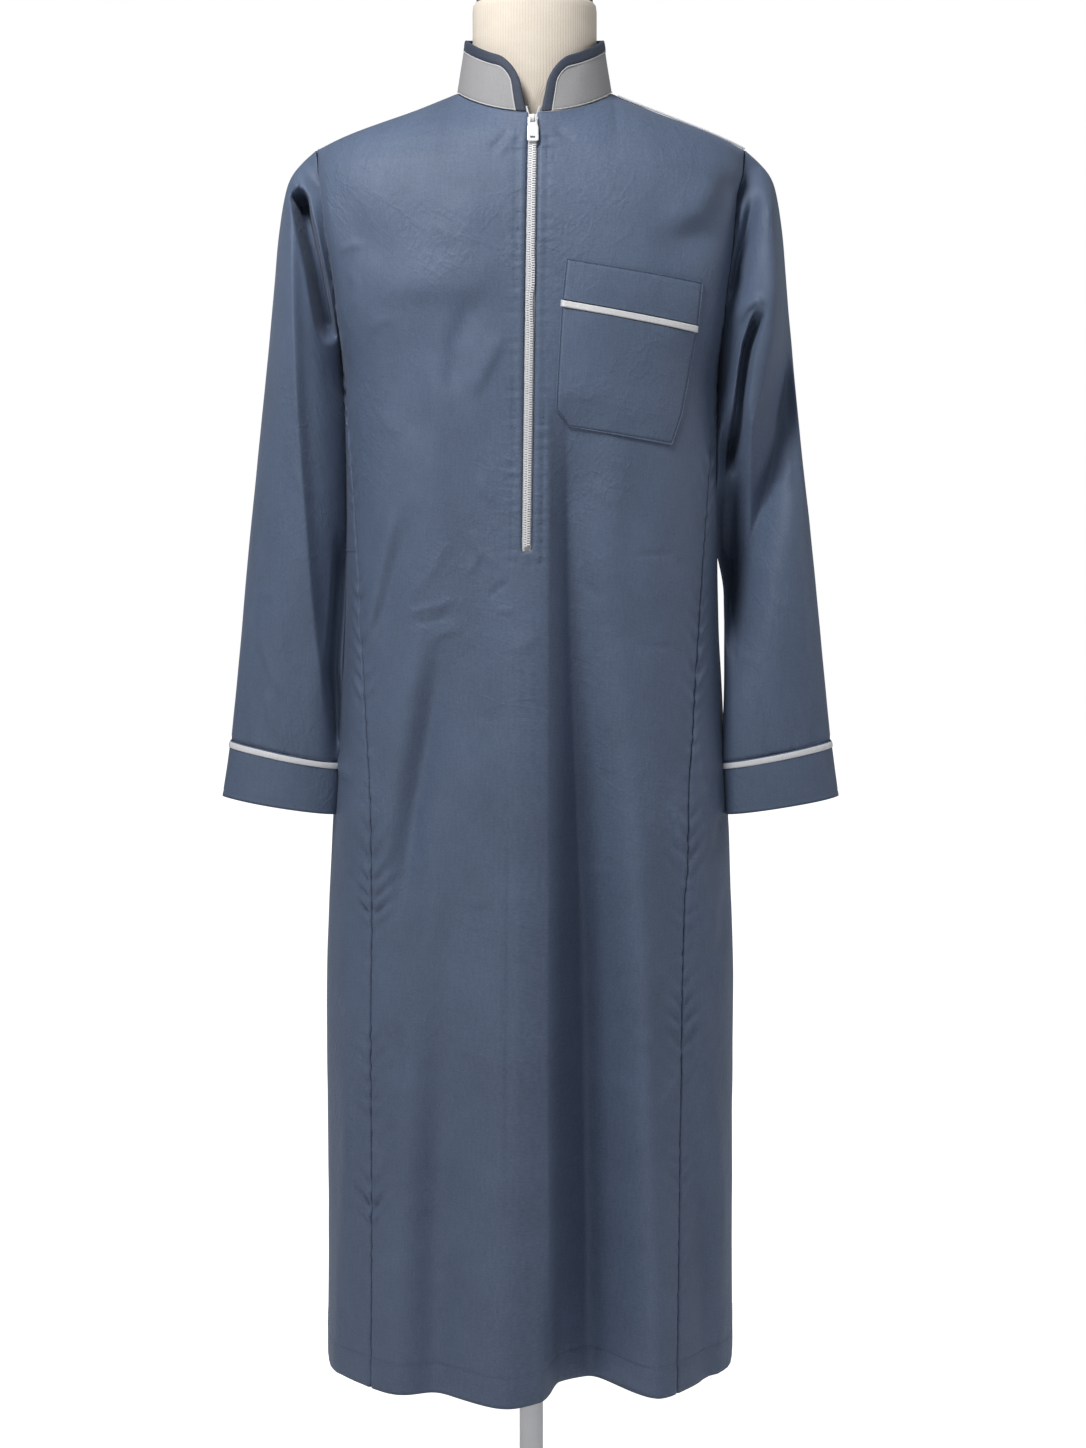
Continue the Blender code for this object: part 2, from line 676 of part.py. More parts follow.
def cuff_point(turn, along, side, ease_out):
    """Outer point of a cuff, as on the +X side: along is 0 at its seam and 1 at its foot."""
    top = sleeve_section(SLEEVE[-1], turn, side, ease_out)
    foot = sleeve_section(CUFF_FOOT, turn, side, ease_out)
    return top + (foot - top) * along


def cuff(name, side, parts):
    columns, rows = 22, 3
    length = SLEEVE[-1].outer_z - CUFF_FOOT.outer_z
    start = SEAM / length

    def point(column, row):
        along = start + (1 - start) * row / rows
        return mirrored(cuff_point((column % columns) / columns, along, side, 0.0), side)

    made = sheet(columns, rows, point, closed=True)
    face_out(made, tube_core)
    return thicken(place(made, name, "slate_cloth", parts), WALL)


def cuff_piping(name, side, parts):
    columns, rows = 22, 2
    length = SLEEVE[-1].outer_z - CUFF_FOOT.outer_z

    def point(column, row):
        along = (PIPING_DOWN + PIPING * row / rows) / length
        return mirrored(cuff_point((column % columns) / columns, along, side, LIFT + PIPING_PROUD), side)

    made = sheet(columns, rows, point, closed=True)
    face_out(made, tube_core)
    return thicken(place(made, name, "white_piping", parts), PIPING_WALL)


def shoulder_piping(name, path, parts):
    """A thin round piping along a shoulder, from the collar to the armhole."""
    curve = bpy.data.curves.new(name, "CURVE")
    curve.dimensions = "3D"
    curve.bevel_depth = SHOULDER_PIPING / 2
    curve.bevel_resolution = 1
    curve.use_fill_caps = True
    run = curve.splines.new("POLY")
    steps = 8
    run.points.add(steps)
    start = NECK_COLUMN + 0.03
    stop = 0.99
    for k in range(steps + 1):
        across = path.side * (start + (stop - start) * k / steps)
        over = path.collar + (path.armhole - path.collar) * k / steps
        height = LEVELS[-1].edge + (SHOULDER_TIP - LEVELS[-1].edge) * over
        out = normal(path.piece, across, height)
        up = out if out.z > 0 else -out
        point = cloth(path.piece, across, height) + up * (SHOULDER_PIPING / 2 + LIFT)
        run.points[k].co = (*point, 1.0)
    curve.materials.append(finish("white_piping"))
    made = bpy.data.objects.new(name, curve)
    parts.objects.link(made)
    return made


def collar_point(along, height):
    """Point of the collar's outer face: along is measured on the neckline from its left front end."""
    samples = 96
    start = COLLAR_GAP_LEFT
    loop = []
    for k in range(samples + 1):
        turn = 4 * k / samples
        if turn <= 2:
            foot = neckline(turn)
            loop.append(Vector((2 * NECK_SHIFT - foot.x, foot.y, foot.z)))
        else:
            loop.append(neckline(4 - turn))
    lengths = [0.0]
    for before, after in zip(loop, loop[1:]):
        lengths.append(lengths[-1] + (after - before).length)
    share = height / COLLAR_HEIGHT
    total = lengths[-1] - COLLAR_GAP_LEFT - COLLAR_GAP_RIGHT
    spread = COLLAR_SPREAD * share
    at = start + spread + (total - 2 * spread) * along / total
    x = glide(lengths, [p.x for p in loop], at)
    y = glide(lengths, [p.y for p in loop], at)
    z = glide(lengths, [p.z for p in loop], at)
    inward = Vector((NECK_SHIFT - x, -0.006 - y, 0)).normalized()
    return Vector((x, y, z + COLLAR_LIFT + height)) + inward * (COLLAR_LEAN * share)


def collar_length():
    count = 96
    loop = [neckline(2 * k / count) for k in range(count + 1)]
    half = sum((after - before).length for before, after in zip(loop, loop[1:]))
    return 2 * half - COLLAR_GAP_LEFT - COLLAR_GAP_RIGHT


def corner_height(along, inset):
    """Height of the collar's edge at a distance from its front end, inset from the outline."""
    corner = COLLAR_CORNER - inset
    reach = min(max(along - inset, 0.0), corner)
    return COLLAR_HEIGHT - COLLAR_CORNER + math.sqrt(max(corner**2 - (corner - reach) ** 2, 0.0))


def collar_columns(total, inset):
    """Distances along the collar, close together at its rounded front corners."""
    near = [inset + (COLLAR_CORNER - inset) * (1 - math.cos(k / 5 * math.pi / 2)) for k in range(6)]
    middle = levels_between(COLLAR_CORNER, total - COLLAR_CORNER, 22)[1:-1]
    return near + middle + [total - place_ for place_ in reversed(near)]


def collar_band(parts):
    total = collar_length()
    inset = BINDING + SEAM
    places = collar_columns(total, inset)
    rows = 3

    def point(column, row):
        along = places[column]
        height = corner_height(min(along, total - along), inset)
        return collar_point(along, height * row / rows)

    made = sheet(len(places) - 1, rows, point)
    face_out(made, lambda face: Vector((NECK_SHIFT, 0, face.calc_center_median().z)))
    return thicken(place(made, "collar_band", "grey_collar", parts), WALL)


def collar_binding(parts):
    """The binding's strip, between the collar's outline and one set in by the binding's width."""
    total = collar_length()
    outer, inner = [], []
    straight = COLLAR_HEIGHT - COLLAR_CORNER
    for k in range(4):
        outer.append((0.0, straight * k / 4))
        inner.append((BINDING, straight * k / 4))
    for k in range(7):
        angle = k / 6 * math.pi / 2
        for ring, corner in ((outer, COLLAR_CORNER), (inner, COLLAR_CORNER - BINDING)):
            ring.append((COLLAR_CORNER - corner * math.cos(angle), straight + corner * math.sin(angle)))
    for along in levels_between(COLLAR_CORNER, total / 2, 11)[1:]:
        outer.append((along, COLLAR_HEIGHT))
        inner.append((along, COLLAR_HEIGHT - BINDING))
    outer += [(total - along, height) for along, height in reversed(outer[:-1])]
    inner += [(total - along, height) for along, height in reversed(inner[:-1])]

    def point(column, row):
        near, far = inner[column], outer[column]
        share = row / 2
        return collar_point(near[0] + (far[0] - near[0]) * share, near[1] + (far[1] - near[1]) * share)

    made = sheet(len(outer) - 1, 2, point)
    face_out(made, lambda face: Vector((NECK_SHIFT, 0, face.calc_center_median().z)))
    return thicken(place(made, "collar_binding", "navy_binding", parts), WALL)


def patch(name, edges, columns, rows, lift, thickness, material, parts):
    """A piece that lies on the front, between edge rows, made from the cloth's points moved out."""
    last = len(edges) - 1

    def point(column, row):
        at = last * row / rows
        i = min(int(at), last - 1)
        t = at - i
        left_x = edges[i].left_x + (edges[i + 1].left_x - edges[i].left_x) * t
        left_z = edges[i].left_z + (edges[i + 1].left_z - edges[i].left_z) * t
        right_x = edges[i].right_x + (edges[i + 1].right_x - edges[i].right_x) * t
        right_z = edges[i].right_z + (edges[i + 1].right_z - edges[i].right_z) * t
        u = column / columns
        x = left_x + (right_x - left_x) * u
        z = left_z + (right_z - left_z) * u
        return on_cloth("front", x, z, lift + thickness)

    made = sheet(columns, rows, point)
    face_out(made, lambda face: face.calc_center_median() + Vector((0, 0.1, 0)))
    return thicken(place(made, name, material, parts), thickness)


def strip(name, top, foot, width, lift, thickness, rows, material, parts):
    """A strip along the zip, its outer face lifted from the front panel's outer face."""

    def point(column, row):
        z = top + (foot - top) * row / rows
        x = zip_x(z) + width * (column / 2 - 0.5)
        return on_cloth("front", x, z, lift)

    made = sheet(2, rows, point)
    face_out(made, lambda face: face.calc_center_median() + Vector((0, 0.1, 0)))
    return thicken(place(made, name, material, parts), thickness)


def box(made, size, centre):
    """A block added to a mesh in the making."""
    turn = Matrix.Translation(centre) @ Matrix.Diagonal((*size, 1.0))
    bmesh.ops.create_cube(made, size=1.0, matrix=turn)


def rod(made, radius, length, centre, segments=12):
    """A round rod along X, added to a mesh in the making."""
    turn = Matrix.Translation(centre) @ Matrix.Rotation(math.pi / 2, 4, "Y")
    bmesh.ops.create_cone(
        made, cap_ends=True, segments=segments, radius1=radius, radius2=radius, depth=length, matrix=turn
    )


def united(name, shapes, material, parts, cutters, cut=()):
    """One solid from overlapping shapes, less the shapes to cut."""
    first = place(shapes[0], name, material, parts)
    joins = [(shape, "UNION") for shape in shapes[1:]] + [(shape, "DIFFERENCE") for shape in cut]
    for number, (shape, operation) in enumerate(joins):
        mesh = bpy.data.meshes.new(f"{name}_tool_{number}")
        shape.to_mesh(mesh)
        shape.free()
        tool = bpy.data.objects.new(mesh.name, mesh)
        tool.hide_render = True
        tool.display_type = "WIRE"
        cutters.objects.link(tool)
        tool.parent = first
        join = first.modifiers.new(f"join {number}", "BOOLEAN")
        join.operation = operation
        join.solver = "EXACT"
        join.object = tool
    return first


def zip_frame():
    """Place and tilt of the slider: on the teeth, its face along the cloth."""
    across, height = find("front", zip_x(SLIDER_Z), SLIDER_Z)
    foot = cloth("front", across, height)
    high = SLIDER_Z + SLIDER_LENGTH / 3
    low = SLIDER_Z - SLIDER_LENGTH * 1.2
    above = on_cloth("front", zip_x(high), high, 0.0)
    below = on_cloth("front", zip_x(low), low, 0.0)
    run = above - below
    tilt = math.atan2(run.y, run.z)
    return foot, -tilt


def slider_and_pull(parts, cutters):
    """The slider's body with its two ears and pin, and the pull tab whose eye turns on the pin."""
    foot, tilt = zip_frame()
    back_y = -(LIFT + 0.0004)
    face_y = back_y - SLIDER_DEPTH
    pin_y = face_y - PIN_OUT
    body = bmesh.new()
    box(body, (SLIDER_WIDTH, SLIDER_DEPTH, SLIDER_LENGTH), Vector((0, (back_y + face_y) / 2, 0)))
    bmesh.ops.bevel(
        body, geom=body.edges[:], offset=SLIDER_EDGE, segments=1, profile=0.5, affect="EDGES", material=-1
    )
    ears = []
    for side in (-1, 1):
        ear = bmesh.new()
        centre = Vector((side * (EAR_GAP + EAR_WIDTH) / 2, face_y + 0.0004 - EAR_DEPTH / 2, PIN_UP))
        box(ear, (EAR_WIDTH, EAR_DEPTH, EAR_LENGTH), centre)
        ears.append(ear)
    pin = bmesh.new()
    rod(pin, PIN_RADIUS, EAR_GAP + EAR_WIDTH, Vector((0, pin_y, PIN_UP)))
    slider = united("zip_slider", [body] + ears + [pin], "white_zip", parts, cutters)
    slider.location = foot
    slider.rotation_euler = (tilt, 0, 0)

    hinge = bpy.data.objects.new("pull_hinge", None)
    parts.objects.link(hinge)
    turn = Matrix.Translation(foot) @ Matrix.Rotation(tilt, 4, "X")
    hinge.location = turn @ Vector((0, pin_y, PIN_UP))
    hinge.rotation_euler = (tilt, 0, 0)

    tab = bmesh.new()
    tab_length = PULL_LENGTH - PULL_TOP
    box(tab, (PULL_WIDTH, PULL_DEPTH, tab_length), Vector((0, 0, -PULL_TOP - tab_length / 2)))
    deep = [edge for edge in tab.edges if abs(edge.verts[0].co.y - edge.verts[1].co.y) > PULL_DEPTH / 2]
    bmesh.ops.bevel(tab, geom=deep, offset=PULL_CORNER, segments=3, profile=0.5, affect="EDGES", material=-1)
    neck = bmesh.new()
    box(neck, (PULL_NECK_WIDTH, PULL_DEPTH, PULL_NECK_LENGTH), Vector((0, 0, 0.0010 - PULL_TOP)))
    eye = bmesh.new()
    rod(eye, EYE_RADIUS, EAR_GAP - EYE_PLAY, Vector((0, 0, 0)), segments=16)
    bore = bmesh.new()
    rod(bore, PIN_RADIUS + LIFT, EAR_GAP * 2, Vector((0, 0, 0)))
    slot = bmesh.new()
    box(slot, (PULL_SLOT_WIDTH, PULL_DEPTH * 3, PULL_SLOT_LENGTH), Vector((0, 0, -PULL_SLOT_DOWN)))
    pull = united("zip_pull", [tab, neck, eye], "white_zip", parts, cutters, cut=[bore, slot])
    pull.parent = hinge
    return slider, pull


def ring_loft(name, rows, columns, material, parts):
    """A closed smooth form through rings that differ in width and depth."""

    def point(column, row):
        height, half_width, front, back, shift, fullness = rows[row]
        angle = 2 * math.pi * (column % columns) / columns
        depth = back if math.sin(angle) > 0 else front
        out = math.copysign(abs(math.cos(angle)) ** (2 / fullness), math.cos(angle))
        deep = math.copysign(abs(math.sin(angle)) ** (2 / fullness), math.sin(angle))
        return Vector((shift + half_width * out, depth * deep, height))

    made = sheet(columns, len(rows) - 1, point, closed=True)
    bmesh.ops.holes_fill(made, edges=made.edges[:], sides=columns)
    bmesh.ops.recalc_face_normals(made, faces=made.faces)
    return place(made, name, material, parts)


def form_torso(parts):
    rows = [(row.height, row.half_width, row.front, row.back, 0.0, FORM_FULLNESS) for row in FORM]
    slope = math.atan2(NECK_SIDE - SHOULDER_TIP, SHOULDER_HALF - NECK_HALF)
    drop = (WALL + FORM_LIFT) / math.cos(slope)
    for row in FORM_SHOULDER:
        share = (SHOULDER_HALF - row.out) / (SHOULDER_HALF - NECK_HALF)
        height = shoulder_height(row.out) - drop
        rows.append((height, row.out, row.front, row.back, NECK_SHIFT * share, row.fullness))
    base = rows[-1][0]
    for row in NECK:
        rows.append((base + row.up, row.half_width, row.front, row.back, NECK_SHIFT, 2.0))
    rows.append((NECK_TOP - NECK_EDGE, NECK_RADIUS, 0.056, 0.052, NECK_SHIFT, 2.0))
    rows.append((NECK_TOP, NECK_RADIUS - NECK_EDGE, 0.053, 0.049, NECK_SHIFT, 2.0))
    return ring_loft("form_torso", rows, 26, "linen", parts)


def neck_cap(parts):
    low = NECK_TOP + LIFT
    rows = [(low + row.up, row.half_width, row.front, row.back, NECK_SHIFT, 2.0) for row in CAP]
    return ring_loft("neck_cap", rows, 26, "neck_cap", parts)


def turned(name, profile, material, parts):
    """A turned piece: its profile runs down its outer side, from axis to axis."""
    mesh = bpy.data.meshes.new(name)
    points = [(radius, 0.0, height) for radius, height in profile]
    mesh.from_pydata(points, [(k, k + 1) for k in range(len(points) - 1)], [])
    made = place(mesh, name, material, parts)
    spin = made.modifiers.new("turn", "SCREW")
    spin.steps = 32
    spin.render_steps = 32
    spin.use_merge_vertices = True
    spin.merge_threshold = 0.00001
    return made


def stand(parts):
    top = FORM_FOOT - LIFT
    flange = 0.034
    turned(
        "pole",
        (
            (0.0, top),
            (flange, top),
            (flange, top - 0.006),
            (POLE_RADIUS + 0.006, top - 0.012),
            (POLE_RADIUS, top - 0.030),
            (POLE_RADIUS, BASE_HEIGHT + 0.040),
            (POLE_RADIUS + 0.007, BASE_HEIGHT + 0.034),
            (POLE_RADIUS + 0.007, BASE_HEIGHT + LIFT),
            (0.0, BASE_HEIGHT + LIFT),
        ),
        "white_stand",
        parts,
    )
    turned(
        "base",
        (
            (0.0, BASE_HEIGHT),
            (BASE_RADIUS - 0.006, BASE_HEIGHT),
            (BASE_RADIUS - 0.001, BASE_HEIGHT - 0.003),
            (BASE_RADIUS, BASE_HEIGHT - 0.006),
            (BASE_RADIUS, 0.0),
            (0.0, 0.0),
        ),
        "white_stand",
        parts,
    )


def main():
    for old in list(bpy.data.objects):
        bpy.data.objects.remove(old, do_unlink=True)
    parts = bpy.data.collections.new("zip_front_thobe")
    cutters = bpy.data.collections.new("cutters")
    bpy.context.scene.collection.children.link(parts)
    bpy.context.scene.collection.children.link(cutters)
    front_panel(parts)
    back_panel(parts)
    for label, side in (("left", -1), ("right", 1)):
        side_front(f"side_front_{label}", side, parts)
        sleeve(f"sleeve_{label}", side, parts)
        cuff(f"cuff_{label}", side, parts)
        cuff_piping(f"cuff_piping_{label}", side, parts)
    for path in SHOULDER_RUNS:
        shoulder_piping(f"shoulder_piping_{'left' if path.side < 0 else 'right'}", path, parts)
    collar_band(parts)
    collar_binding(parts)
    patch("pocket_band", POCKET_BAND, 10, 3, PATCH_LIFT, POCKET_WALL, "slate_cloth", parts)
    patch("pocket_piping", POCKET_PIPING, 10, 1, PATCH_LIFT, POCKET_PIPING_WALL, "white_piping", parts)
    patch("pocket_bag", POCKET_BAG, 10, 6, PATCH_LIFT, POCKET_WALL, "slate_cloth", parts)
    tape_lift = -(WALL + PATCH_LIFT)
    strip("zip_tape", ZIP_TOP, ZIP_FOOT - TAPE_REACH, TAPE, tape_lift, TAPE_WALL, 16, "white_zip", parts)
    strip("zip_teeth", ZIP_TOP - 0.001, ZIP_FOOT, TEETH, TEETH_PROUD, TEETH_DEPTH, 16, "white_zip", parts)
    slider_and_pull(parts, cutters)
    form_torso(parts)
    neck_cap(parts)
    stand(parts)


main()
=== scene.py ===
import math
from collections import namedtuple
from functools import partial
from itertools import accumulate

import bmesh
import bpy
from mathutils import Matrix, Vector, noise


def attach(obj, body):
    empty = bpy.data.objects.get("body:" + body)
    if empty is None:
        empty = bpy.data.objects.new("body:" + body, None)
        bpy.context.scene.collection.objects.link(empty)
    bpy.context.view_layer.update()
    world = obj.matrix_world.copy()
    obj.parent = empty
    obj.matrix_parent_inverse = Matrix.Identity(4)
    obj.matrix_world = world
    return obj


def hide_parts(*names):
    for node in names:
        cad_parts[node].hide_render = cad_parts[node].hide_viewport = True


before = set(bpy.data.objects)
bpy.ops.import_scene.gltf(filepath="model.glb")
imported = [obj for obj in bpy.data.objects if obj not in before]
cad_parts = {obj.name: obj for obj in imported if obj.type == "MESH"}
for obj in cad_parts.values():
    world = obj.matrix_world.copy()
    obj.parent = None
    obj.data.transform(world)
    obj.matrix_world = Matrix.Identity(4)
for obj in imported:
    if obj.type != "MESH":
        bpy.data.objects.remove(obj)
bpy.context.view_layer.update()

# Studio
# A plain pale floor in a white room, with one soft lamp high on the left in front, a weak low one
# under it for the skirt, and a wide one far out on the right.
scene = bpy.context.scene
scene.view_settings.view_transform = "Standard"
WHITE = (1.0, 1.0, 1.0, 1.0)


def link(made):
    scene.collection.objects.link(made)
    return made


def tune(made, **settings):
    """Set a node's attributes and inputs by name, with an underscore for each space."""
    for name, value in settings.items():
        if hasattr(made, name):
            setattr(made, name, value)
        else:
            made.inputs[name.replace("_", " ")].default_value = value
    return made


def node(tree, kind, **settings):
    return tune(tree.nodes.new(kind), **settings)


room = bpy.data.worlds.new("white_room")
room.use_nodes = True
air = room.node_tree
fill = tune(air.nodes["Background"], Strength=0.26, Color=(0.95, 0.97, 1.0, 1.0))
backdrop = node(air, "ShaderNodeBackground", Strength=1.0, Color=WHITE)
choose = node(air, "ShaderNodeMixShader")
air.links.new(node(air, "ShaderNodeLightPath").outputs["Is Camera Ray"], choose.inputs["Fac"])
air.links.new(fill.outputs[0], choose.inputs[1])
air.links.new(backdrop.outputs[0], choose.inputs[2])
air.links.new(choose.outputs[0], air.nodes["World Output"].inputs["Surface"])
scene.world = room


def lamp(name, place, aim_height, size, power):
    """A square soft lamp that looks at a height of the garment's middle."""
    light = bpy.data.lights.new(name, "AREA")
    light.size = size
    light.energy = power
    made = link(bpy.data.objects.new(name, light))
    made.location = place
    aim = Vector((0.0, -0.05, aim_height)) - Vector(place)
    made.rotation_euler = aim.to_track_quat("-Z", "Y").to_euler()


lamp("key_lamp", (-0.50, -0.85, 2.27), 1.35, 0.45, 19.5)
lamp("low_lamp", (-0.95, -1.30, 0.70), 0.40, 0.45, 2.6)
lamp("side_lamp", (2.5, -0.1, 1.7), 1.05, 1.0, 11.0)


def object_of(name, made, sharp=None):
    """The object of a bmesh, shaded smooth; edges past the angle in sharp stay crisp."""
    mesh = bpy.data.meshes.new(name)
    made.to_mesh(mesh)
    made.free()
    mesh.shade_smooth()
    if sharp:
        mesh.set_sharp_from_angle(angle=sharp)
    return link(bpy.data.objects.new(name, mesh))


floor_mesh = bmesh.new()
bmesh.ops.create_grid(floor_mesh, x_segments=1, y_segments=1, size=9.0)
floor = object_of("floor", floor_mesh)
floor_finish = bpy.data.materials.new("floor_paper")
floor_finish.use_nodes = True
paper = floor_finish.node_tree
surface = tune(paper.nodes["Principled BSDF"], Roughness=0.9)
tune(surface, Base_Color=(0.93, 0.93, 0.93, 1.0), Emission_Color=WHITE)
glow = node(paper, "ShaderNodeMapRange", To_Min=0.10, To_Max=0.93)
paper.links.new(node(paper, "ShaderNodeLightPath").outputs["Is Camera Ray"], glow.inputs["Value"])
paper.links.new(glow.outputs["Result"], surface.inputs["Emission Strength"])
floor.data.materials.append(floor_finish)

eye = bpy.data.cameras.new("eye")
eye.lens = 62.4
eye.sensor_fit = "VERTICAL"
eye.sensor_height = 36.0
camera = link(bpy.data.objects.new("camera", eye))
camera.location = (0.0125, -2.60, 1.088)
camera.rotation_euler = (math.pi / 2 - 0.0890, 0.0, 0.0)
scene.camera = camera

# Front panel
# The long front piece of plain-woven blue-grey poly-cotton, from the neckline and shoulders to the
# hem, slit down to the waist for the zip and stitched in a narrow box round it. Its hem is turned up.
# Thickness of the cloth, the dip at its seams, and its width from the middle to the side seam
WALL = 0.0008
SEAM_DIP = 0.0014
HALF_CLOTH = 0.26
PATTERN_HALF = 0.27
# Heights and half widths of the body, and how square its sections are
HEM = 0.190
TURN_UP = 0.031
HEM_CORNER = 0.030
SLIT_TOP = 0.245
SLIT_SHARE = 0.0125
FINE_TOP = 0.95
ARMPIT = 1.200
SEAM_START = 1.285
SHOULDER_TIP = 1.442
SHOULDER_HALF = 0.219
RIDGE_GAP = 0.0018
FULLNESS = 2.6
# The neckline: half its width, its height at the side, its shift, and its share of the top edge
NECK_HALF = 0.0785
NECK_SIDE = 1.4995
NECK_SHIFT = 0.004
NECK_COLUMN = 0.20
# The zip's ends, the width of its slot, and its two stitched lines, by their distance from it
ZIP_TOP = 1.466
ZIP_FOOT = 1.040
SLOT = 0.009
ZIP_LINE = 0.0135
ZIP_EDGE_LINE = 0.0070
# The steep wall of the deep fold, where the turned-up hem lies further inside
STEEP_X = 0.023
STEEP_HALF = 0.016

# Sections of the body, by the height of their side edge; in front and behind they may lie higher
Level = namedtuple("Level", "edge half_width edge_front edge_back front back front_rise back_rise")
LEVELS = (
    Level(0.190, 0.213, 0.000, 0.000, 0.150, 0.152, 0.000, 0.000),
    Level(0.350, 0.212, 0.000, 0.000, 0.147, 0.151, 0.000, 0.000),
    Level(0.565, 0.212, 0.000, 0.000, 0.143, 0.148, 0.000, 0.000),
    Level(0.745, 0.206, 0.000, 0.000, 0.138, 0.145, 0.000, 0.000),
    Level(0.881, 0.197, 0.000, 0.000, 0.133, 0.141, 0.000, 0.000),
    Level(0.985, 0.192, 0.000, 0.000, 0.129, 0.138, 0.000, 0.000),
    Level(1.088, 0.191, 0.000, 0.000, 0.127, 0.136, 0.000, 0.000),
    Level(1.200, 0.191, 0.000, 0.000, 0.125, 0.136, 0.000, 0.000),
    Level(1.285, 0.196, 0.046, 0.050, 0.121, 0.134, 0.004, 0.006),
    Level(1.355, 0.206, 0.052, 0.058, 0.110, 0.124, 0.013, 0.021),
    Level(1.410, 0.2135, 0.030, 0.036, 0.093, 0.099, 0.020, 0.042),
)
EDGES = [level.edge for level in LEVELS]

# The largest folds: a ridge has a positive depth, a trough a negative one
Fold = namedtuple("Fold", "piece top top_x foot foot_x bow left right depth fade")
FOLDS = [
    Fold("front", 1.200, 0.002, 0.150, -0.022, 0.000, 0.042, 0.034, 0.034, 0.30),
    Fold("front", 0.860, 0.092, 0.150, 0.125, 0.000, 0.032, 0.032, 0.020, 0.22),
    Fold("front", 0.700, -0.110, 0.150, -0.135, 0.000, 0.030, 0.030, 0.012, 0.22),
    Fold("front", 0.640, 0.157, 0.150, 0.190, 0.000, 0.014, 0.014, -0.010, 0.22),
    Fold("back", 1.140, -0.070, 0.150, -0.115, 0.000, 0.026, 0.026, -0.026, 0.22),
    Fold("back", 1.100, -0.030, 0.150, -0.045, 0.000, 0.030, 0.030, 0.022, 0.22),
    Fold("back", 1.160, 0.010, 0.150, 0.025, 0.000, 0.022, 0.022, -0.034, 0.22),
    Fold("back", 1.080, 0.060, 0.150, 0.085, 0.000, 0.032, 0.032, 0.024, 0.22),
    Fold("back", 1.120, 0.100, 0.150, 0.140, 0.000, 0.020, 0.020, -0.020, 0.22),
]

# The deep fold right of the middle, by height: where it drops, where it comes back, and its depth
Valley = namedtuple("Valley", "height edge back depth")
VALLEY = (
    Valley(0.150, 0.0215, 0.072, 0.062),
    Valley(0.290, 0.0205, 0.070, 0.060),
    Valley(0.590, 0.0184, 0.064, 0.054),
    Valley(0.745, 0.0184, 0.056, 0.045),
    Valley(0.800, 0.0184, 0.052, 0.038),
    Valley(0.900, 0.0184, 0.046, 0.029),
    Valley(0.990, 0.0184, 0.042, 0.024),
    Valley(1.090, 0.0184, 0.040, 0.018),
    Valley(1.147, 0.0184, 0.038, 0.010),
    Valley(1.190, 0.0184, 0.036, 0.000),
)


def ease(low, high, at):
    """0 below low, 1 above high, smooth between."""
    t = min(max((at - low) / (high - low), 0.0), 1.0)
    return t * t * (3 - 2 * t)


def bell(off, width, power=2.0):
    """1 in the middle and dying away past a width."""
    return math.exp(-((off / width) ** power))


def cloud(x, y, z):
    """Soft noise between about -1 and 1."""
    return noise.noise(Vector((x, y, z)))


class Crease:
    """A small crease along a path of places on a piece, with a width on each side of it."""

    def __init__(self, path, left, right, depth, start=0.3, end=0.3, power=2.0):
        self.left, self.right, self.depth = left, right, depth
        self.start, self.end, self.power = start, end, power
        reach = (5 if power < 2 else 3) * max(left, right)
        self.low_x = min(x for x, _ in path) - reach
        self.high_x = max(x for x, _ in path) + reach
        self.low_z = min(z for _, z in path) - reach
        self.high_z = max(z for _, z in path) + reach
        self.runs = []
        at = 0.0
        for (ax, az), (bx, bz) in zip(path, path[1:]):
            length = math.hypot(bx - ax, bz - az)
            self.runs.append((ax, az, (bx - ax) / length, (bz - az) / length, length, at))
            at += length
        self.total = at

    def push(self, x, z):
        if not (self.low_x < x < self.high_x and self.low_z < z < self.high_z):
            return 0.0
        best = None
        for ax, az, dx, dz, length, at in self.runs:
            along = min(max((x - ax) * dx + (z - az) * dz, 0.0), length)
            off_x, off_z = x - ax - dx * along, z - az - dz * along
            away = math.hypot(off_x, off_z)
            if best is None or away < best[0]:
                best = (away, dx * off_z - dz * off_x, (at + along) / self.total)
        away, side, share = best
        strength = ease(0.0, self.start, share) if self.start else 1.0
        strength *= ease(0.0, self.end, 1 - share) if self.end else 1.0
        width = self.right if side > 0 else self.left
        return self.depth * strength * bell(away, width, self.power)


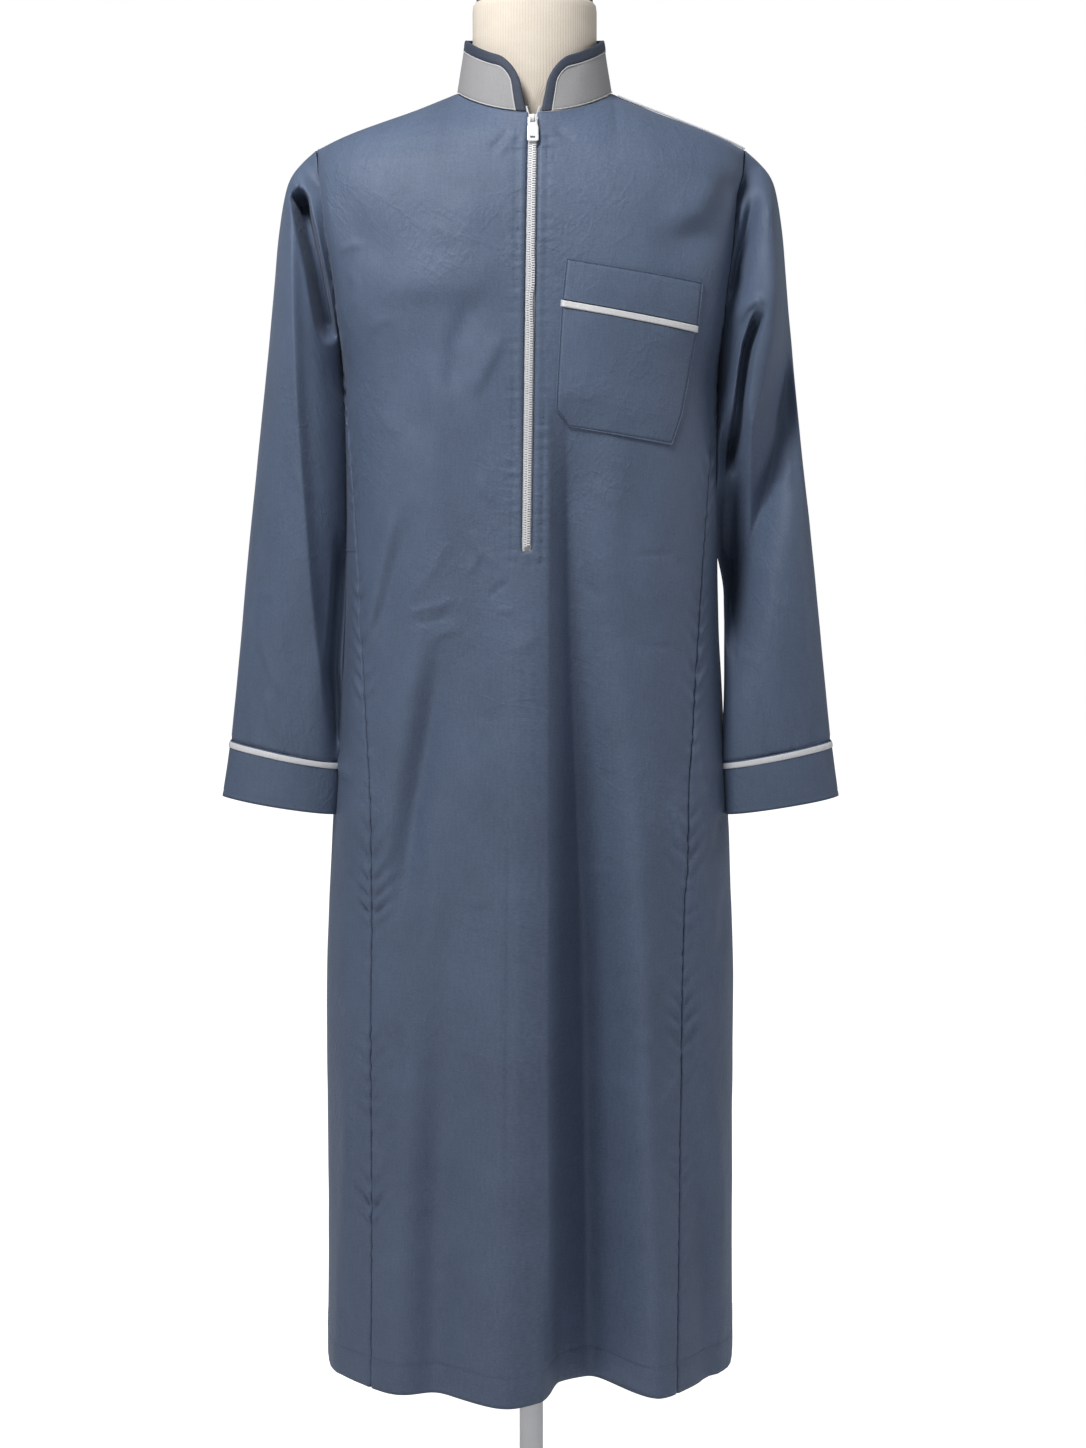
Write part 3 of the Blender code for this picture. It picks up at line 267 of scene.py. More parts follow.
CREASES = {
    "front": (
        # The band that runs down from under the left breast: a soft ridge, then a valley with a sharp edge
        Crease(
            [(-0.084, 1.000), (-0.0923, 0.934), (-0.1054, 0.866), (-0.1217, 0.786), (-0.1269, 0.734),
             (-0.137, 0.600)],
            0.026, 0.026, -0.0210, 0.40, 0.5, 1.4,
        ),
        Crease(
            [(-0.100, 0.985), (-0.1215, 0.870), (-0.1454, 0.732), (-0.1529, 0.650)],
            0.016, 0.012, 0.0070,
        ),
        # The crisp lip of the deep fold
        Crease(
            [(0.0160, 1.130), (0.0160, 0.800), (0.0160, 0.590), (0.0180, 0.200)],
            0.014, 0.0036, 0.0034, 0.2, 0.15,
        ),
        # The light crease from the waist to the left seam
        Crease([(-0.130, 1.095), (-0.1425, 1.0355), (-0.154, 0.986), (-0.169, 0.930)], 0.012, 0.006, 0.0048),
        Crease([(-0.122, 1.095), (-0.134, 1.036), (-0.146, 0.986), (-0.160, 0.940)], 0.004, 0.018, -0.0034),
        # Hollows below the shoulders
        Crease(
            [(-0.196, 1.420), (-0.190, 1.390), (-0.178, 1.362), (-0.160, 1.340), (-0.130, 1.320)],
            0.018, 0.020, -0.0036,
        ),
        Crease([(-0.190, 1.330), (-0.182, 1.338), (-0.174, 1.340), (-0.166, 1.333)], 0.004, 0.003, 0.0020),
        Crease([(-0.180, 1.320), (-0.173, 1.300), (-0.176, 1.270)], 0.003, 0.003, 0.0018),
        Crease(
            [(0.206, 1.420), (0.196, 1.388), (0.180, 1.355), (0.150, 1.342), (0.112, 1.338)],
            0.014, 0.022, -0.0080, 0.2, 0.5,
        ),
        Crease([(0.190, 1.408), (0.161, 1.372), (0.128, 1.354)], 0.016, 0.014, 0.0032),
        # The breast, below which the cloth drops straight
        Crease([(-0.165, 1.291), (-0.108, 1.296), (-0.049, 1.296), (-0.020, 1.288)], 0.016, 0.026, 0.0038),
        Crease([(-0.0237, 1.2535), (-0.0393, 1.2244), (-0.059, 1.1856)], 0.012, 0.006, 0.0026),
        Crease(
            [(-0.0589, 1.300), (-0.0608, 1.273), (-0.0736, 1.240), (-0.080, 1.180)],
            0.010, 0.014, -0.0036,
        ),
        Crease([(-0.120, 1.270), (-0.116, 1.210), (-0.112, 1.130)], 0.018, 0.024, -0.0036),
        Crease([(-0.095, 1.240), (-0.092, 1.160), (-0.098, 1.080)], 0.010, 0.012, 0.0024),
        Crease([(-0.060, 1.400), (-0.066, 1.340), (-0.070, 1.290)], 0.022, 0.026, 0.0026),
        # Fine wrinkles at the waist
        Crease(
            [(-0.128, 0.973), (-0.110, 0.979), (-0.091, 0.9835), (-0.068, 0.992)],
            0.0022, 0.0030, 0.0022,
        ),
        Crease(
            [(-0.128, 0.966), (-0.110, 0.966), (-0.091, 0.9705), (-0.068, 0.980)],
            0.0022, 0.0026, -0.0020,
        ),
        Crease([(-0.041, 0.992), (-0.030, 1.001), (-0.019, 1.009)], 0.0022, 0.0030, -0.0022),
        Crease([(-0.036, 0.9782), (-0.024, 0.981), (-0.013, 0.9782)], 0.0020, 0.0026, 0.0018),
        Crease([(-0.060, 1.060), (-0.048, 1.036), (-0.030, 1.020)], 0.004, 0.005, 0.0020),
        Crease([(0.100, 1.035), (0.122, 1.034), (0.146, 1.0325)], 0.0016, 0.0022, -0.0014),
        Crease([(0.102, 0.944), (0.124, 0.9435), (0.148, 0.941)], 0.0016, 0.0022, -0.0014),
        Crease([(-0.020, 1.455), (-0.030, 1.440), (-0.042, 1.430)], 0.003, 0.004, -0.0018),
        Crease([(-0.016, 1.448), (-0.024, 1.436), (-0.034, 1.424)], 0.003, 0.003, 0.0016),
        Crease([(0.022, 1.456), (0.032, 1.446), (0.046, 1.440)], 0.003, 0.004, -0.0018),
        # The skirt, left of its middle
        Crease(
            [(-0.020, 0.860), (-0.0202, 0.700), (-0.022, 0.500), (-0.020, 0.300)],
            0.004, 0.012, -0.0022, 0.3, 0.4, 1.15,
        ),
        Crease([(-0.115, 0.800), (-0.104, 0.760), (-0.098, 0.700), (-0.100, 0.620)], 0.012, 0.016, 0.0030),
        Crease(
            [(-0.085, 0.640), (-0.092, 0.500), (-0.098, 0.340), (-0.100, 0.190)],
            0.018, 0.022, -0.0110, 0.5, 0.0,
        ),
        Crease([(-0.060, 0.780), (-0.058, 0.640), (-0.064, 0.480)], 0.016, 0.020, 0.0030),
        Crease([(-0.1357, 0.572), (-0.1300, 0.535), (-0.1329, 0.500)], 0.010, 0.007, -0.0040),
        Crease([(-0.132, 0.470), (-0.146, 0.446), (-0.158, 0.430)], 0.006, 0.008, -0.0026),
        Crease([(-0.126, 0.400), (-0.142, 0.380), (-0.158, 0.366)], 0.006, 0.007, -0.0022),
        # Light creases over the side panels
        Crease(
            [(0.156, 0.660), (0.166, 0.580), (0.182, 0.480), (0.194, 0.380), (0.199, 0.260)],
            0.004, 0.009, 0.0040, power=1.15,
        ),
        Crease(
            [(0.160, 0.760), (0.172, 0.700), (0.188, 0.640), (0.198, 0.560)],
            0.004, 0.008, 0.0034, power=1.15,
        ),
        Crease([(0.160, 0.880), (0.170, 0.830), (0.184, 0.760)], 0.004, 0.007, 0.0028, power=1.15),
        Crease([(0.150, 0.520), (0.140, 0.500), (0.118, 0.470)], 0.004, 0.005, 0.0020, 0.3, 0.5, 1.15),
        Crease(
            [(-0.190, 0.560), (-0.184, 0.460), (-0.179, 0.360), (-0.186, 0.220)],
            0.008, 0.004, 0.0036, power=1.15,
        ),
        Crease([(-0.196, 0.760), (-0.186, 0.730), (-0.172, 0.700)], 0.004, 0.004, 0.0022, power=1.15),
        Crease([(-0.198, 0.590), (-0.186, 0.580), (-0.174, 0.560)], 0.004, 0.004, 0.0020, power=1.15),
        # The skirt, right of its middle
        Crease([(0.070, 1.130), (0.062, 1.050), (0.066, 0.940), (0.078, 0.800)], 0.020, 0.016, 0.0042),
        Crease([(0.100, 1.130), (0.096, 1.020), (0.104, 0.900)], 0.014, 0.018, -0.0032),
        Crease([(0.118, 0.900), (0.122, 0.800), (0.118, 0.700)], 0.014, 0.012, 0.0028),
        Crease([(0.132, 0.620), (0.128, 0.500), (0.134, 0.380)], 0.012, 0.012, -0.0024),
        # Creases that cross the side seams
        Crease(
            [(0.1412, 0.800), (0.1515, 0.735), (0.160, 0.700), (0.1706, 0.650), (0.184, 0.600)],
            0.006, 0.012, 0.0050, 0.2, 0.4, 1.15,
        ),
        Crease([(0.1976, 0.782), (0.189, 0.738), (0.177, 0.713)], 0.004, 0.008, -0.0036),
        Crease([(0.1985, 0.704), (0.195, 0.647), (0.185, 0.615)], 0.005, 0.007, -0.0036),
        Crease(
            [(0.153, 0.581), (0.167, 0.484), (0.1816, 0.389), (0.190, 0.2945), (0.194, 0.190)],
            0.010, 0.014, 0.0060, 0.3, 0.0, 1.15,
        ),
        Crease(
            [(-0.1625, 0.637), (-0.172, 0.560), (-0.183, 0.440), (-0.190, 0.340), (-0.197, 0.200)],
            0.014, 0.007, 0.0060, 0.3, 0.0, 1.15,
        ),
        Crease([(-0.178, 0.760), (-0.182, 0.680), (-0.178, 0.600)], 0.006, 0.006, -0.0034),
        Crease([(-0.200, 0.830), (-0.190, 0.812), (-0.178, 0.806)], 0.005, 0.006, 0.0026),
    ),
    "back": (
        Crease([(-0.150, 1.120), (-0.140, 1.030), (-0.150, 0.930), (-0.165, 0.840)], 0.010, 0.014, -0.0060),
        Crease([(0.155, 1.140), (0.146, 1.040), (0.152, 0.920), (0.168, 0.800)], 0.014, 0.009, -0.0060),
        Crease([(-0.110, 1.330), (-0.090, 1.290), (-0.075, 1.220)], 0.016, 0.012, 0.0040),
        Crease([(0.120, 1.330), (0.100, 1.280), (0.090, 1.200)], 0.012, 0.016, 0.0036),
        Crease([(-0.060, 0.990), (-0.030, 0.996), (0.010, 0.990), (0.050, 0.998)], 0.003, 0.004, 0.0022),
        Crease([(-0.080, 0.900), (-0.050, 0.910), (-0.020, 0.904)], 0.003, 0.003, -0.0018),
        Crease([(0.020, 1.060), (0.060, 1.050), (0.100, 1.056)], 0.003, 0.004, -0.0022),
        Crease([(0.168, 0.620), (0.180, 0.480), (0.188, 0.200)], 0.012, 0.006, 0.0050, 0.3, 0.0, 1.15),
        Crease([(-0.166, 0.640), (-0.176, 0.500), (-0.186, 0.200)], 0.006, 0.012, 0.0050, 0.3, 0.0, 1.15),
        Crease([(0.055, 1.420), (0.040, 1.380), (0.036, 1.320)], 0.016, 0.020, -0.0030),
        Crease([(-0.050, 1.430), (-0.036, 1.390), (-0.030, 1.330)], 0.018, 0.016, -0.0026),
        Crease([(0.110, 0.860), (0.122, 0.700), (0.120, 0.520)], 0.010, 0.016, 0.0040),
        Crease([(-0.120, 0.900), (-0.108, 0.760), (-0.112, 0.560)], 0.016, 0.010, 0.0040),
    ),
}
# Fine wrinkles with one sharp side, raised and sunk
RAISED_WRINKLES = (
    [(-0.150, 1.010), (-0.132, 1.046), (-0.118, 1.090), (-0.110, 1.130)],
    [(-0.128, 0.985), (-0.110, 1.000), (-0.092, 1.024), (-0.078, 1.060)],
    [(-0.104, 0.940), (-0.088, 0.956), (-0.060, 0.966)],
    [(-0.070, 1.010), (-0.056, 1.022), (-0.044, 1.044)],
    [(-0.052, 1.120), (-0.046, 1.096), (-0.032, 1.080)],
    [(-0.150, 1.180), (-0.140, 1.160), (-0.126, 1.150)],
    [(-0.160, 1.250), (-0.148, 1.262), (-0.130, 1.266)],
    [(-0.100, 1.360), (-0.086, 1.350), (-0.076, 1.332)],
    [(0.060, 1.110), (0.072, 1.090), (0.090, 1.080)],
    [(-0.020, 0.940), (-0.004, 0.946), (0.010, 0.958)],
    [(-0.070, 0.700), (-0.056, 0.690), (-0.036, 0.694)],
    [(0.060, 0.700), (0.074, 0.716), (0.090, 0.720)],
    [(0.096, 0.560), (0.110, 0.548), (0.126, 0.552)],
)
SUNK_WRINKLES = (
    [(0.050, 1.010), (0.064, 0.996), (0.080, 0.990)],
    [(-0.060, 0.880), (-0.040, 0.872), (-0.020, 0.876)],
)
for paths, depth in ((RAISED_WRINKLES, 0.0020), (SUNK_WRINKLES, -0.0018)):
    CREASES["front"] += tuple(Crease(path, 0.0032, 0.0060, depth, 0.4, 0.4, 1.15) for path in paths)


def shared_slope(before, after):
    """Slope where two stretches of a table meet, level at a peak, so that the reading never overshoots."""
    return 2 * before * after / (before + after) if before * after > 0 else 0.0


def glide(knots, values, at):
    """Smooth reading of a table between its rows."""
    last = len(knots) - 1
    if at <= knots[0]:
        return values[0]
    if at >= knots[last]:
        return values[last]
    i = max(k for k in range(last) if knots[k] <= at)
    before = max(i - 1, 0)
    after = min(i + 2, last)
    span = knots[i + 1] - knots[i]
    rise = (values[i + 1] - values[i]) / span
    rise_before = (values[i] - values[before]) / (knots[i] - knots[before]) if i > before else rise
    rise_after = (values[after] - values[i + 1]) / (knots[after] - knots[i + 1]) if after > i + 1 else rise
    slope_in = shared_slope(rise_before, rise)
    slope_out = shared_slope(rise, rise_after)
    t = (at - knots[i]) / span
    return (
        values[i] * (1 + 2 * t) * (1 - t) ** 2
        + slope_in * span * t * (1 - t) ** 2
        + values[i + 1] * t * t * (3 - 2 * t)
        + slope_out * span * t * t * (t - 1)
    )


def read(rows, column, at):
    """Smooth reading of one column of a table by height."""
    return glide([row.height for row in rows], [getattr(row, column) for row in rows], at)


def shoulder_height(out):
    """Height of the sloping shoulder seam at a distance from the middle."""
    share = (SHOULDER_HALF - out) / (SHOULDER_HALF - NECK_HALF)
    return SHOULDER_TIP + (NECK_SIDE - SHOULDER_TIP) * share


def neckline(turn):
    """Point of the neckline: turn is 0 in front, 1 at the shoulder and 2 behind."""
    angle = turn * math.pi / 2
    front = max(math.cos(angle), 0.0)
    behind = max(-math.cos(angle), 0.0)
    x = NECK_SHIFT + NECK_HALF * math.sin(angle)
    return Vector((x, -0.078 * front + 0.066 * behind, NECK_SIDE - 0.030 * front**1.4 + 0.010 * behind))


def level_point(level, face, across):
    """Point of one section of the body: across is 0 in the middle and 1 or -1 at the side."""
    angle = abs(across) * math.pi / 2
    out = math.sin(angle) ** (2 / FULLNESS)
    depth = max(math.cos(angle), 0.0) ** (2 / FULLNESS)
    edge = -level.edge_front if face == "front" else level.edge_back
    middle = -level.front if face == "front" else level.back
    rise = level.front_rise if face == "front" else level.back_rise
    x = math.copysign(level.half_width * out, across)
    return Vector((x, edge + (middle - edge) * depth, level.edge + rise * depth))


def top_point(face, across):
    """Point of the body's top edge: the neckline, then the shoulder seam."""
    if abs(across) <= NECK_COLUMN:
        turn = abs(across) / NECK_COLUMN
        point = neckline(turn if face == "front" else 2 - turn)
        y = min(point.y, -RIDGE_GAP / 2) if face == "front" else max(point.y, RIDGE_GAP / 2)
        return Vector((NECK_SHIFT + math.copysign(point.x - NECK_SHIFT, across), y, point.z))
    share = (abs(across) - NECK_COLUMN) / (1 - NECK_COLUMN)
    out = NECK_HALF + (SHOULDER_HALF - NECK_HALF) * share
    x = math.copysign(out, across) + NECK_SHIFT * (1 - share)
    half_gap = RIDGE_GAP / 2 * (-1 if face == "front" else 1)
    return Vector((x, half_gap, shoulder_height(out)))


def zip_x(z):
    """Where the zip lies across the front at a height; it leans a little."""
    share = (ZIP_TOP - z) / (ZIP_TOP - ZIP_FOOT)
    return 0.0026 - 0.0063 * min(max(share, 0.0), 1.3)


def valley_offset(x, z):
    """The deep fold: a crisp edge, a steep flank, a level floor and a slow way back out."""
    if z > VALLEY[-1].height or not 0.0 < x < 0.15:
        return 0.0
    edge, back, depth = (read(VALLEY, column, z) for column in ("edge", "back", "depth"))
    down = min(max((x - edge) / (back - edge) * 1.08, 0.0), 1.0) ** 0.74
    down += (ease(edge - 0.012, edge + 0.012, x) - down) * (1 - ease(0.076, 0.36, z))
    return -depth * down * (1 - ease(back, back + 0.055, x))


def fold_offset(piece, x, z):
    """How far the folds and creases of a piece push the cloth out at a place."""
    total = valley_offset(x, z) if piece == "front" else 0.0
    for fold in FOLDS:
        if fold.piece != piece or z > fold.top:
            continue
        share = min((fold.top - z) / (fold.top - fold.foot), 1.0)
        path = fold.top_x + (fold.foot_x - fold.top_x) * share + fold.bow * math.sin(math.pi * share)
        width = fold.right if x > path else fold.left
        if abs(x - path) > 3 * width:
            continue
        strength = ease(0.0, fold.fade, fold.top - z) * (0.45 + 0.55 * share)
        if fold.foot > HEM:
            strength *= ease(fold.foot, fold.foot + fold.fade, z)
        total += fold.depth * strength * bell(x - path, width)
    for crease in CREASES.get(piece, ()):
        total += crease.push(x, z)
    return total


def drape(x, y, z):
    """The slight unevenness of hanging cloth: long soft runs, broad dents and small ripples."""
    long_runs = cloud(x * 15, y * 15, z * 1.7 + 3)
    broad = cloud(x * 8, y * 8, z * 4.5)
    small = cloud(x * 46 + 5, y * 46, z * 24)
    low = 1 - ease(1.00, 1.25, z)
    return 0.0010 * broad + (0.0006 + 0.0014 * low) * long_runs + 0.00032 * small


def zip_stitching(x, z):
    """The placket's double cloth beside the zip, and the pucker of its two stitched lines."""
    off = abs(x - zip_x(z))
    away = abs(off - ZIP_LINE)
    if off > 0.034 or z < ZIP_FOOT - 0.014:
        return 0.0
    inside = 0.0008 * (1 - ease(0.0130, 0.0142, off))
    groove = -0.0014 * bell(away, 0.0012)
    groove -= 0.0008 * bell(off - ZIP_EDGE_LINE, 0.0009)
    salt = 3.0 if x > 0 else 9.0
    phase = 2 * math.pi * z / 0.0092 + 5.0 * cloud(salt, 0.0, z * 34)
    strong = 0.5 + 0.5 * cloud(salt, 4.0, z * 22)
    pucker = (math.sin(phase) + 0.7 * cloud(salt, off * 90, z * 170)) * strong
    reach = 0.0055 if off < ZIP_LINE else 0.0080
    return inside + groove + 0.0016 * pucker * bell(away, reach)


def bare_body(face, across, height):
    """The body's form without its folds: height is that of the level's side or armhole edge."""
    height = min(max(height, HEM), SHOULDER_TIP)
    last = len(LEVELS)
    near = min(range(last + 1), key=lambda k: abs((EDGES[k] if k < last else SHOULDER_TIP) - height))
    chosen = range(max(near - 2, 0), min(near + 3, last + 1))
    points = [level_point(LEVELS[k], face, across) if k < last else top_point(face, across) for k in chosen]
    knots = [EDGES[k] if k < last else SHOULDER_TIP for k in chosen]
    point = Vector([glide(knots, [p[axis] for p in points], height) for axis in range(3)])
    over = (height - EDGES[-1]) / (SHOULDER_TIP - EDGES[-1])
    if over > 0:
        crown = 0.011 * math.sin(math.pi * over) * ease(0.0, NECK_COLUMN * 1.3, abs(across))
        point += Vector((0.0, -0.6 if face == "front" else 0.6, 0.8)) * crown
    return point


def outwards(point, widen):
    """Level direction out of the body, turned less to the side for a small value."""
    return Vector((point.x * widen, point.y, 0.0)).normalized()


def calm(height):
    """Share of a seam's roll and gathers that is left at a height: they die out on the shoulders."""
    return 1 - 0.8 * ease(EDGES[-1], SHOULDER_TIP, height)


def cloth(face, across, height):
    """Outer point of the body cloth, with its folds; heights are averaged where the shoulders turn."""
    turn = 1 - abs(height - EDGES[-1]) / 0.028
    if turn > 0:
        steps = (-0.014 * turn, -0.005 * turn, 0.005 * turn, 0.014 * turn)
        point = sum((bare_body(face, across, height + step) for step in steps), Vector()) / len(steps)
    else:
        point = bare_body(face, across, height)
    over = (height - EDGES[-1]) / (SHOULDER_TIP - EDGES[-1])
    push = fold_offset(face, point.x, point.z)
    push += drape(point.x, point.y, point.z) * (1 - ease(0.0, 0.8, over))
    if face == "front":
        push += zip_stitching(point.x, point.z) * (1 - ease(0.2, 1.0, over))
    return point + outwards(point, 0.35) * push


def find(face, x, z):
    """The (across, height) of the cloth at a place seen from the front or the back."""
    across = 0.9 * x / SHOULDER_HALF
    height = min(z, SHOULDER_TIP)
    for _ in range(30):
        point = cloth(face, across, height)
        if abs(point.x - x) < 0.00002 and abs(point.z - z) < 0.00002:
            break
        wider = cloth(face, min(across + 0.01, 1.0), height)
        across += (x - point.x) * 0.01 / max(wider.x - point.x, 0.0004)
        across = min(max(across, -1.0), 1.0)
        height = min(max(height + (z - point.z) * 0.8, HEM), SHOULDER_TIP)
    return across, height


def normal(face, across, height):
    """Outward direction of the cloth."""
    step = 0.006
    wide = cloth(face, min(across + step, 1.0), height) - cloth(face, max(across - step, -1.0), height)
    above, below = min(height + step, SHOULDER_TIP), max(height - step, HEM)
    tall = cloth(face, across, above) - cloth(face, across, below)
    out = wide.cross(tall).normalized()
    return out if (out.y < 0) == (face == "front") else -out


def lifted(face, across, height, lift):
    """A point of the cloth, moved out from it, and the outward direction there."""
    out = normal(face, across, height)
    return cloth(face, across, height) + out * lift, out


def on_cloth(face, x, z, lift):
    """The same for a place seen from the front or the back."""
    return lifted(face, *find(face, x, z), lift)


def running(steps):
    """Distances from the start of a path, by the lengths of its steps."""
    return [0.0, *accumulate(steps)]


def princess(side, height):
    """Across value of a princess seam at a height; above its start it is the armhole edge."""
    if height > SEAM_START + 0.001:
        return 1.0
    places = (0.161, 0.161, 0.161, 0.170, 0.186) if side < 0 else (0.143, 0.150, 0.155, 0.168, 0.186)
    out = glide((0.190, 0.450, 0.686, 0.947, 1.188), places, height)
    half = glide(EDGES, [level.half_width for level in LEVELS], height)
    along = 2 / math.pi * math.asin(min(out / half, 1.0) ** (FULLNESS / 2))
    return along + (0.985 - along) * ease(ARMPIT - 0.06, SEAM_START, height)


def side_edge(height):
    """Across value of the side seam, which opens in a slit above the hem."""
    return 1.0 - SLIT_SHARE * (1 - ease(HEM, SLIT_TOP, height))


def hem_rise(across, height):
    """How far the rounded corner of the front hem lifts the cloth near the side slit."""
    share = ease(0.80, 1.0, abs(across))
    return HEM_CORNER * share * share * (1 - ease(HEM, HEM + 0.09, height))


def between(low, high, count):
    """Evenly spaced places, both ends included."""
    return [low + (high - low) * k / count for k in range(count + 1)]


def graded(start, stretches):
    """Places in stretches, each given by its end and its number of steps."""
    places = [start]
    for end, count in stretches:
        places += between(places[-1], end, count)[1:]
    return places


def packed(count, ends):
    """Shares from 0 to 1, closer together at both ends."""
    return [k / count - ends * math.sin(2 * math.pi * k / count) / (2 * math.pi) for k in range(count + 1)]


def body_rows(top=SHOULDER_TIP):
    """Level heights of a panel's rows, from the hem up."""
    stretches = ((FINE_TOP, 200), (ARMPIT, 74), (SEAM_START, 22), (EDGES[-1], 38), (SHOULDER_TIP, 24))
    return [height for height in graded(HEM, stretches) if height <= top + 0.0001]


# Where the princess seams pucker: the middle and half the length of each stretch, and its strength
PUCKERS = {
    -1: (
        (1.150, 0.070, 1.0), (0.920, 0.070, 1.7), (0.700, 0.070, 1.5), (0.510, 0.050, 2.2),
        (0.390, 0.050, 2.0),
    ),
    1: (
        (1.120, 0.070, 0.9), (0.930, 0.070, 1.3), (0.740, 0.070, 1.2), (0.560, 0.050, 1.4),
        (0.380, 0.080, 1.0),
    ),
}
PUCKER_WAVE = 0.0210


def seam_pucker(salt, away, z, strength=1.0, deep=0.0007):
    """The rolled edge of a seam, and the small gathers beside it."""
    roll = -deep * bell(away, 0.0016)
    gather = cloud(salt, away * 60, z * 130) * bell(away, 0.007)
    return roll + 0.0020 * strength * gather


def side_pucker(side, away, z):
    """The gathers of a princess seam, which reach out over the front where the seam is tight."""
    push = seam_pucker(7.0 if side < 0 else 2.0, away, z)
    for middle, half, strength in PUCKERS[side]:
        near = bell(z - middle, half)
        if near > 0.02:
            phase = 2 * math.pi * (z - 0.9 * away) / PUCKER_WAVE
            phase += 3.5 * cloud(side * 5.0, 1.0, z * 16)
            uneven = 0.55 + cloud(side * 5.0, away * 30, z * 28)
            reach = bell(away, 0.019) - bell(away, 0.0035)
            push += 0.0024 * strength * near * uneven * math.sin(phase) * reach
    return push


def shell(name, columns, rows, point, outward, closed=False, skip=None, wall=WALL):
    """A thin cloth shell: a grid whose points and flat pattern (its UV map) come from a function."""
    made = bmesh.new()
    bmesh.ops.create_grid(made, x_segments=columns, y_segments=rows, size=1.0)
    places = {}
    for vertex in made.verts:
        places[vertex] = (round((vertex.co.x + 1) / 2 * columns), round((vertex.co.y + 1) / 2 * rows))
    pattern = made.loops.layers.uv.new("pattern")
    flat = {}
    for vertex, (column, row) in places.items():
        vertex.co, flat[vertex] = point(column, row)
    for face in made.faces:
        for loop in face.loops:
            loop[pattern].uv = flat[loop.vert]
    if skip:
        corners = {face: [places[vertex] for vertex in face.verts] for face in made.faces}
        dropped = [face for face, ends in corners.items() if skip(min(ends)[0], min(row for _, row in ends))]
        bmesh.ops.delete(made, geom=dropped, context="FACES")
    if closed:
        bmesh.ops.remove_doubles(made, verts=made.verts, dist=0.000004)
    bmesh.ops.recalc_face_normals(made, faces=made.faces)
    if sum(face.normal.dot(outward(face)) * face.calc_area() for face in made.faces) < 0:
        bmesh.ops.reverse_faces(made, faces=made.faces)
    cloth_object = object_of(name, made)
    if wall:
        thickness = cloth_object.modifiers.new("wall", "SOLIDIFY")
        thickness.thickness = wall
        thickness.offset = -1
        thickness.use_even_offset = False
    return cloth_object


def maths(tree, operation, *inputs):
    """Output of a maths node whose inputs are numbers or other outputs."""
    made = node(tree, "ShaderNodeMath", operation=operation)
    for socket, value in zip(made.inputs, inputs):
        if isinstance(value, (int, float)):
            socket.default_value = value
        else:
            tree.links.new(value, socket)
    return made.outputs[0]


def streaks(tree, source, across, along):
    """Noise stretched over a flat pattern, by its number of changes a metre each way."""
    spread = node(tree, "ShaderNodeVectorMath", operation="MULTIPLY")
    tree.links.new(source, spread.inputs[0])
    spread.inputs[1].default_value = (across, along, 1.0)
    yarn = node(tree, "ShaderNodeTexNoise", Scale=1.0, Detail=3.0, Roughness=0.6)
    tree.links.new(spread.outputs[0], yarn.inputs["Vector"])
    return yarn.outputs["Fac"]


def pattern_group(name):
    """An empty group that turns a flat pattern into a height and a shade, with its maths."""
    group = bpy.data.node_groups.new(name, "ShaderNodeTree")
    group.interface.new_socket("Pattern", in_out="INPUT", socket_type="NodeSocketVector")
    group.interface.new_socket("Threads per metre", in_out="INPUT", socket_type="NodeSocketFloat")
    group.interface.new_socket("Height", in_out="OUTPUT", socket_type="NodeSocketFloat")
    group.interface.new_socket("Shade", in_out="OUTPUT", socket_type="NodeSocketFloat")
    entry, leave = node(group, "NodeGroupInput").outputs, node(group, "NodeGroupOutput").inputs
    return group, entry, leave, partial(maths, group)


def weave_group():
    """Plain weave: threads over and under one another, with slubs and a mottled yarn."""
    group, entry, leave, do = pattern_group("plain_weave")
    split = node(group, "ShaderNodeSeparateXYZ")
    group.links.new(entry["Pattern"], split.inputs[0])
    half_turn = do("MULTIPLY", entry["Threads per metre"], math.pi)
    warp = do("SINE", do("MULTIPLY", split.outputs["X"], half_turn))
    weft = do("SINE", do("MULTIPLY", split.outputs["Y"], half_turn))
    over = do("GREATER_THAN", do("MULTIPLY", warp, weft), 0.0)
    under = do("SUBTRACT", 1.0, over)
    round_warp = do("MULTIPLY", do("ABSOLUTE", warp), over)
    round_weft = do("MULTIPLY", do("ABSOLUTE", weft), under)
    group.links.new(do("ADD", round_warp, round_weft), leave["Height"])
    yarn = do("MULTIPLY", streaks(group, entry["Pattern"], 560.0, 60.0), 0.20)
    for across, along, share in ((60.0, 640.0, 0.12), (620.0, 620.0, 0.44), (16.0, 11.0, 0.24)):
        more = do("MULTIPLY", streaks(group, entry["Pattern"], across, along), share)
        yarn = do("ADD", yarn, more)
    stretched = node(group, "ShaderNodeMapRange", From_Min=0.36, From_Max=0.64)
    group.links.new(yarn, stretched.inputs["Value"])
    group.links.new(stretched.outputs["Result"], leave["Shade"])
    return group


